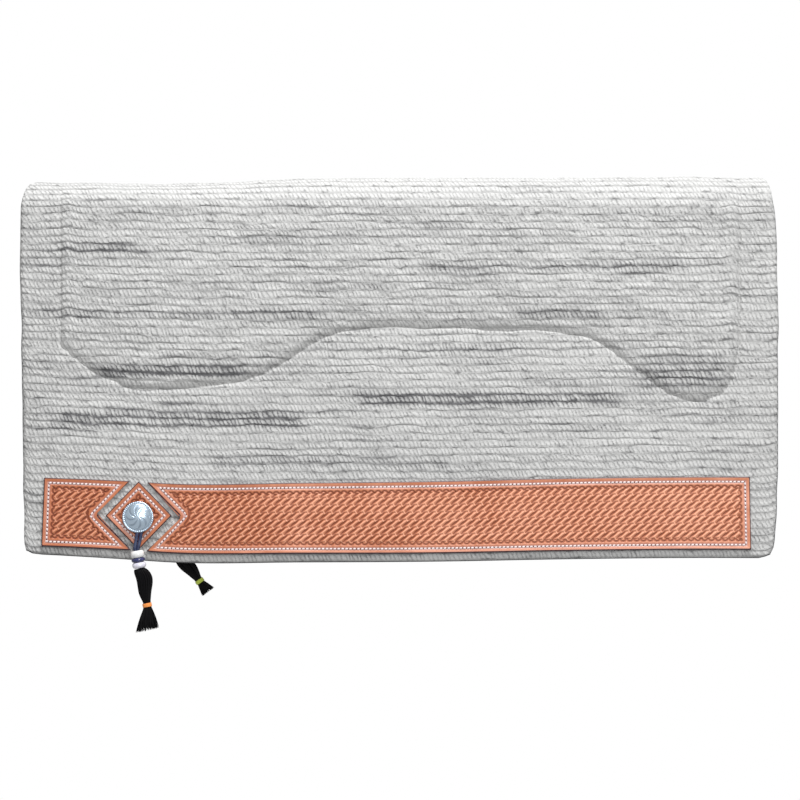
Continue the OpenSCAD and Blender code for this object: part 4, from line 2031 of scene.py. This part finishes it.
@dataclass
class Tassel:
    """A looped thong with three beads, and a horsehair bundle tied once round."""

    side: Side
    centre: Pair
    lace: Material
    beads: dict[str, tuple[str, Material]]
    hair: Material
    band: Material
    band_slot: str
    angle: float
    leans: tuple[float, float, float]
    sway: tuple[float, ...]
    out: float = 39.8 * MM
    thong_long: float = 35 * MM
    bead_r: float = 7.3 * MM
    heights: tuple[float, float, float] = (7.4 * MM, 4.6 * MM, 6.2 * MM)
    flare: float = 1.0
    hair_start: float = 19.9 * MM
    waist: float = 37 * MM
    band_h: float = 4 * MM
    tip: float = 65 * MM
    core_r: float = 1.7 * MM
    hairs: int = 230

    def hang(self, level: str = "post") -> Matrix:
        """The frame of one length of the hanging tassel, with -Y outwards and Z up.

        Args:
            level: "post", "bead" or "hair".

        Returns:
            The frame, mirrored on the off side.
        """
        turns = [Matrix.Rotation(-math.radians(lean), 4, "Y") for lean in self.leans]
        post = Matrix.Translation((self.centre[0], 0, self.centre[1]))
        place = Matrix.Diagonal((1, -self.side.out, 1, 1)) @ post
        place = place @ Matrix.Rotation(-math.radians(self.angle), 4, "Y") @ turns[0]
        if level == "post":
            return place
        place = place @ Matrix.Translation((0, -self.out, -self.thong_long)) @ turns[1]
        if level == "bead":
            return place
        return place @ Matrix.Translation((0, 0, -self.hair_start)) @ turns[2]

    def settle(self, piece: Piece, level: str, finish: Material, slot: str,
               node: str, degrees: float = 60) -> Piece:
        """Puts a piece in its place and dresses it.

        Args:
            piece: The piece, made about the tassel's own axis.
            level: "post", "bead" or "hair".
            finish: Its material.
            slot: Its slot.
            node: The node that it stands for.
            degrees: The angle that an edge stays sharp above.

        Returns:
            The piece.
        """
        piece.data.transform(self.hang(level))
        recalculate(piece)
        return dressed(piece, finish, degrees, self.side.of("tassel"), slot, self.side.of(node))

    def bundle_r(self, down: Array) -> Array:
        """The bundle's radius at a distance below its top.

        Args:
            down: Distances, in metres.

        Returns:
            The radius at each.
        """
        return curve_through(np.array([0, 3, 9, 16, 23, 30, 36, 41, 46, 54, 65]) * MM,
                             np.array([5.0, 6.9, 8.0, 7.9, 6.9, 5.3, 3.7, 3.8, 3.8 + 2.1 * self.flare,
                                       3.8 + 5.2 * self.flare, 3.8 + 8.8 * self.flare]) * MM)(down)

    def swayed(self, down: Array) -> Array:
        """How far the hair's own bend takes it to the rear at a distance below its top."""
        return curve_through(np.array([0, 4, 11, 18, 25, 39, 52, 65]) * MM, np.array(self.sway) * MM)(down)

    def thong(self) -> Piece:
        """The lace, doubled round the post and led into the beads.

        Returns:
            The lace.
        """
        stations = np.array([0, 1, 2, 3, 4, 5, 6, 7])
        fine = np.linspace(0, 7, 64)
        y = np.array([-32.6, -32.6, -32.7, -33.3, -35.4, -38.2, -39.6, -39.8]) * MM
        z = np.array([3.9, 0.0, -6, -13, -22, -29.5, -34.5, -37]) * MM
        parts = []
        for hand in (-1, 1):
            x = np.array([-0.6, 3.9, 2.6, 2.0, 1.9, 1.85, 1.6, 0.95]) * MM * hand
            x = x + np.array([0, 0, 0.9, 2.1, 1.3, 0.2, -0.4, 0]) * MM
            path = np.stack([curve_through(stations, v)(fine) for v in (x, y, z)], axis=1)
            path[:, 0] += ripple(path[:, 2], path[:, 1], 16 * MM, 40 + hand) * 0.25 * MM
            parts.append(sweep(path, np.full(len(path), 1.75 * MM), 12, 0.5, (1, 0, 0)))
        core = np.stack([np.zeros(12), np.full(12, -self.out), np.linspace(-36, -60, 12) * MM], axis=1)
        turned = Matrix.Rotation(math.radians(self.leans[1]), 4, "Y")
        core_points, core_faces = sweep(core - (0, -self.out, -self.thong_long), np.full(12, 1.45 * MM), 10)
        core_points = core_points @ np.array(turned.inverted())[:3, :3].T + (0, -self.out, -self.thong_long)
        parts.append((core_points, core_faces))
        return self.settle(many(self.side.of("lace"), parts), "post", self.lace, "thong_leather", "thong")

    def bead(self, name: str, top: float, height: float) -> Piece:
        """A moulded barrel bead.

        Args:
            name: The bead's name.
            top: How far down its top is.
            height: Its height.

        Returns:
            The bead.
        """
        r, half = self.bead_r, height / 2
        outer = [(r * 0.66, half), (r * 0.8, half - 0.25 * MM), (r * 0.9, half * 0.72),
                 (r * 0.97, half * 0.4), (r, 0)]
        profile = [(self.core_r, half), *outer, *[(a, -b) for a, b in outer[-2::-1]], (self.core_r, -half),
                   (self.core_r, half)]
        piece = lathe(self.side.of(f"{name}_moulded"), profile, 56)
        piece.data.transform(Matrix.Translation((0, 0, -top - half)))
        slot, finish = self.beads[name]
        return self.settle(piece, "bead", finish, slot, name, 35)

    def horsehair(self) -> Piece:
        """The hairs, laid round a core that fills the bundle.

        Returns:
            The hair.
        """
        rng = np.random.default_rng(71 if self.side is Side.NEAR else 72)
        parts = []
        for _ in range(self.hairs):
            share = 0.60 + 0.40 * math.sqrt(rng.uniform(0, 1))
            turn = rng.uniform(0, 2 * math.pi)
            long = self.tip - abs(rng.normal(0, 0.9)) * MM
            down = np.linspace(0.4 * MM, long, 30)
            loose = ease(down, 44 * MM, 65 * MM)
            spread = self.bundle_r(down) * (share + loose * rng.normal(-0.10, 0.10))
            twist = turn + rng.normal(0.25, 0.3) * down / self.tip
            aside = self.swayed(down) + rng.normal(0, 0.4) * MM * loose
            path = np.stack([np.cos(twist) * spread + aside, np.sin(twist) * spread, -down], axis=1)
            thick = np.full(len(down), rng.uniform(0.36, 0.52) * MM)
            thick[-4:] *= (0.85, 0.65, 0.45, 0.2)
            parts.append(sweep(path, thick, 5))
        down = np.linspace(0, self.tip - 3 * MM, 40)
        core = np.stack([self.swayed(down), np.zeros(40), -down], axis=1)
        parts.append(sweep(core, self.bundle_r(down) * 0.84 * (1 - 0.12 * ease(down, 46 * MM, 60 * MM)), 28))
        bundle = many(self.side.of("hairs"), parts)
        return self.settle(bundle, "hair", self.hair, "horsehair", "horsehair")

    def tie_band(self) -> Piece:
        """The thread wound round the hair's waist, with its end tucked under.

        Returns:
            The band.
        """
        turns = np.linspace(0, 6 * 2 * math.pi, 220)
        r = 4.35 * MM
        down = self.waist + (self.band_h - 0.9 * MM) * turns / turns[-1] + 0.45 * MM
        path = np.stack([r * np.cos(turns), r * np.sin(turns), -down], axis=1)
        coil = sweep(path, np.full(len(turns), 0.58 * MM), 8, 1.0, (0, 0, 1))
        down = np.linspace(0, self.band_h, 6)
        sleeve = sweep(np.stack([down * 0, down * 0, -self.waist - down], axis=1), np.full(6, r), 32)
        piece = many(self.side.of("winding"), [coil, sleeve])
        return self.settle(piece, "hair", self.band, self.band_slot, "tie_band")

    def build(self) -> list[Piece]:
        """Makes the tassel from the post down.

        Returns:
            Its pieces.
        """
        pieces = [self.thong()]
        top = 1.2 * MM
        for name, height in zip(("bead_top", "bead_middle", "bead_bottom"), self.heights):
            pieces.append(self.bead(name, top, height))
            top += height + 0.1 * MM
        return [*pieces, self.horsehair(), self.tie_band()]


# ---------------------------------------------------------------- the studio


@dataclass
class Studio:
    """A white room with soft light from above and a straight-on camera."""

    ambient: float = 0.5
    camera_place: tuple[float, float, float] = (0.0005, -3.5, -0.2004)
    lens: float = 149.5

    def area(self, name: str, place: tuple[float, float, float], wide: float, watts: float) -> None:
        """Adds a soft light aimed at the pad.

        Args:
            name: The light's name.
            place: Where it stands.
            wide: Its width, in metres.
            watts: Its power.
        """
        light = bpy.data.lights.new(name, "AREA")
        light.shape = "SQUARE"
        light.size = wide
        light.energy = watts
        lamp = linked(name, light)
        lamp.location = place
        aim = Vector((0, 0, -0.2)) - Vector(place)
        lamp.rotation_euler = aim.to_track_quat("-Z", "Y").to_euler()

    def build(self) -> None:
        """Makes the world, the lights and the camera."""
        scene = bpy.context.scene
        scene.view_settings.view_transform = "Standard"
        world = bpy.data.worlds.new("white_room")
        world.use_nodes = True
        tree = world.node_tree
        sky = tree.nodes["Background"]
        sky.inputs["Color"].default_value = (1, 1, 1, 1)
        path = tree.nodes.new("ShaderNodeLightPath")
        level = tree.nodes.new("ShaderNodeMapRange")
        level.inputs["To Min"].default_value = self.ambient
        tree.links.new(path.outputs["Is Camera Ray"], level.inputs["Value"])
        tree.links.new(level.outputs["Result"], sky.inputs["Strength"])
        scene.world = world
        self.area("key", (0.25, -1.45, 2.7), 0.8, 120)
        self.area("fill", (0.5, -3.0, 0.3), 1.0, 30)
        camera = bpy.data.cameras.new("camera")
        camera.lens = self.lens
        camera.sensor_width = 36
        holder = linked("camera", camera)
        holder.location = self.camera_place
        holder.rotation_euler = (math.pi / 2, 0, 0)
        scene.camera = holder


# ---------------------------------------------------------------- everything together


@dataclass
class SaddlePad:
    """The whole pad."""

    nodes: dict[str, Piece]
    concho: Pair = (-0.2725, -0.3211)
    tassels: ClassVar[dict[Side, dict]] = {
        Side.NEAR: {"band_slot": "band_orange", "angle": 0.0, "leans": (-2.0, 11.0, 2.5),
                    "sway": (-0.6, 1.0, 2.6, 2.0, 0.6, 0.0, -2.4, -5.0)},
        Side.OFF: {"band_slot": "band_green", "angle": 38.5, "leans": (6.5, -8.0, -1.2),
                   "sway": (0, 0, -1.0, -0.8, 0, 0, 0.6, 1.4), "tip": 54 * MM, "flare": 0.75}}

    def layers(self, shape: PadShape) -> list[Layer]:
        """The four layers, from the outside in.

        Args:
            shape: The pad's shape.

        Returns:
            The layers.
        """
        # The base felt is dark grey and reaches 1.1 mm past the cover's edges, so along the pad's edges its
        # dark colour is partly its own and partly painted shade.
        felt = PressedFelt("base_felt", (0.10, 0.10, 0.105), (0.045, 0.045, 0.05))
        insert = PressedFelt("insert_felt", (0.55, 0.54, 0.52), (0.36, 0.36, 0.35))
        fleece = PressedFelt("fleece_lining", (0.50, 0.485, 0.45), (0.27, 0.26, 0.24), 1.6 * MM)
        seams = (shape.front + shape.seam_front, shape.rear - shape.seam_rear)
        return [
            WoolCover("cover", "wool_cover", 22 * MM, 28 * MM, 2.1 * MM, 0.45, shape, WovenWool().build(),
                      rib_rows=6, seams=seams, kept=(6, 6), round_r=4.2 * MM, puff=Puff(shape)),
            Insert("insert", "insert_felt", shape.felt_r + 0.2 * MM, shape.insert_r - 0.2 * MM, 8 * MM, 0.7,
                   shape, insert.build()),
            Layer("felt", "base_felt", shape.lining_r + 0.05 * MM, shape.felt_r - 0.05 * MM, 10 * MM, 0.8,
                  shape, felt.build(), inset=-1.1 * MM),
            Fleece("lining", "fleece_lining", shape.rail_r, shape.lining_r - 0.05 * MM, 3.6 * MM, 0.5, shape,
                   fleece.build(), rib_rows=2, inset=1.5 * MM, kept=(6, 6)),
        ]

    def build(self) -> list[Piece]:
        """Makes every piece in order.

        Returns:
            The pieces.
        """
        shape = PadShape()
        made: list[Piece] = []
        for layer in self.layers(shape):
            made.extend(layer.build())
            log.info("%s: %d pieces so far", layer.name, len(made))
        tooling = StampedLeather()
        leather, silver = tooling.build(), EngravedSilver().build()
        lace, hair = WaxedLace().build(), BlackHair().build()
        thread = TwistedThread("stitch_thread", (0.80, 0.72, 0.72)).build()
        # The needle holes' finish is painted shade.
        hole, steel = HoleShade().build(), PlainSteel().build()
        kinds = (GlossBead("bead_white", (0.80, 0.80, 0.79), (0.62, 0.62, 0.62)),
                 GlossBead("bead_navy", (0.016, 0.02, 0.085), (0.05, 0.06, 0.17)),
                 GlossBead("bead_lilac", (0.74, 0.73, 0.80), (0.50, 0.48, 0.62)))
        beads = {place: (kind.name, kind.build())
                 for place, kind in zip(("bead_top", "bead_middle", "bead_bottom"), kinds)}
        colours = {"band_orange": (0.86, 0.31, 0.075), "band_green": (0.55, 0.66, 0.10)}
        bands = {name: TwistedThread(name, colour).build() for name, colour in colours.items()}
        for side in Side:
            made.extend(WearLeathers(shape, side, leather, thread, hole, tooling, self.concho).build())
            made.append(Concho(side, self.concho, silver).build())
            kind = self.tassels[side]
            band = bands[kind["band_slot"]]
            made.extend(Tassel(side, self.concho, lace, beads, hair, band, **kind).build())
            for node in ("concho_post", "concho_backplate"):
                metal = self.nodes[side.of(node)]
                metal.data.materials.clear()
                metal.data.materials.append(steel)
        return made


def main() -> None:
    """Builds the pad and its studio."""
    logging.basicConfig(level=logging.INFO, format="%(name)s: %(message)s")
    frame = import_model()
    pad = SaddlePad(frame["nodes"])
    for piece in pad.build():
        log.info("%s: %d faces", piece.name, len(piece.data.polygons))
    Studio().build()


if __name__ == "__main__":
    main()
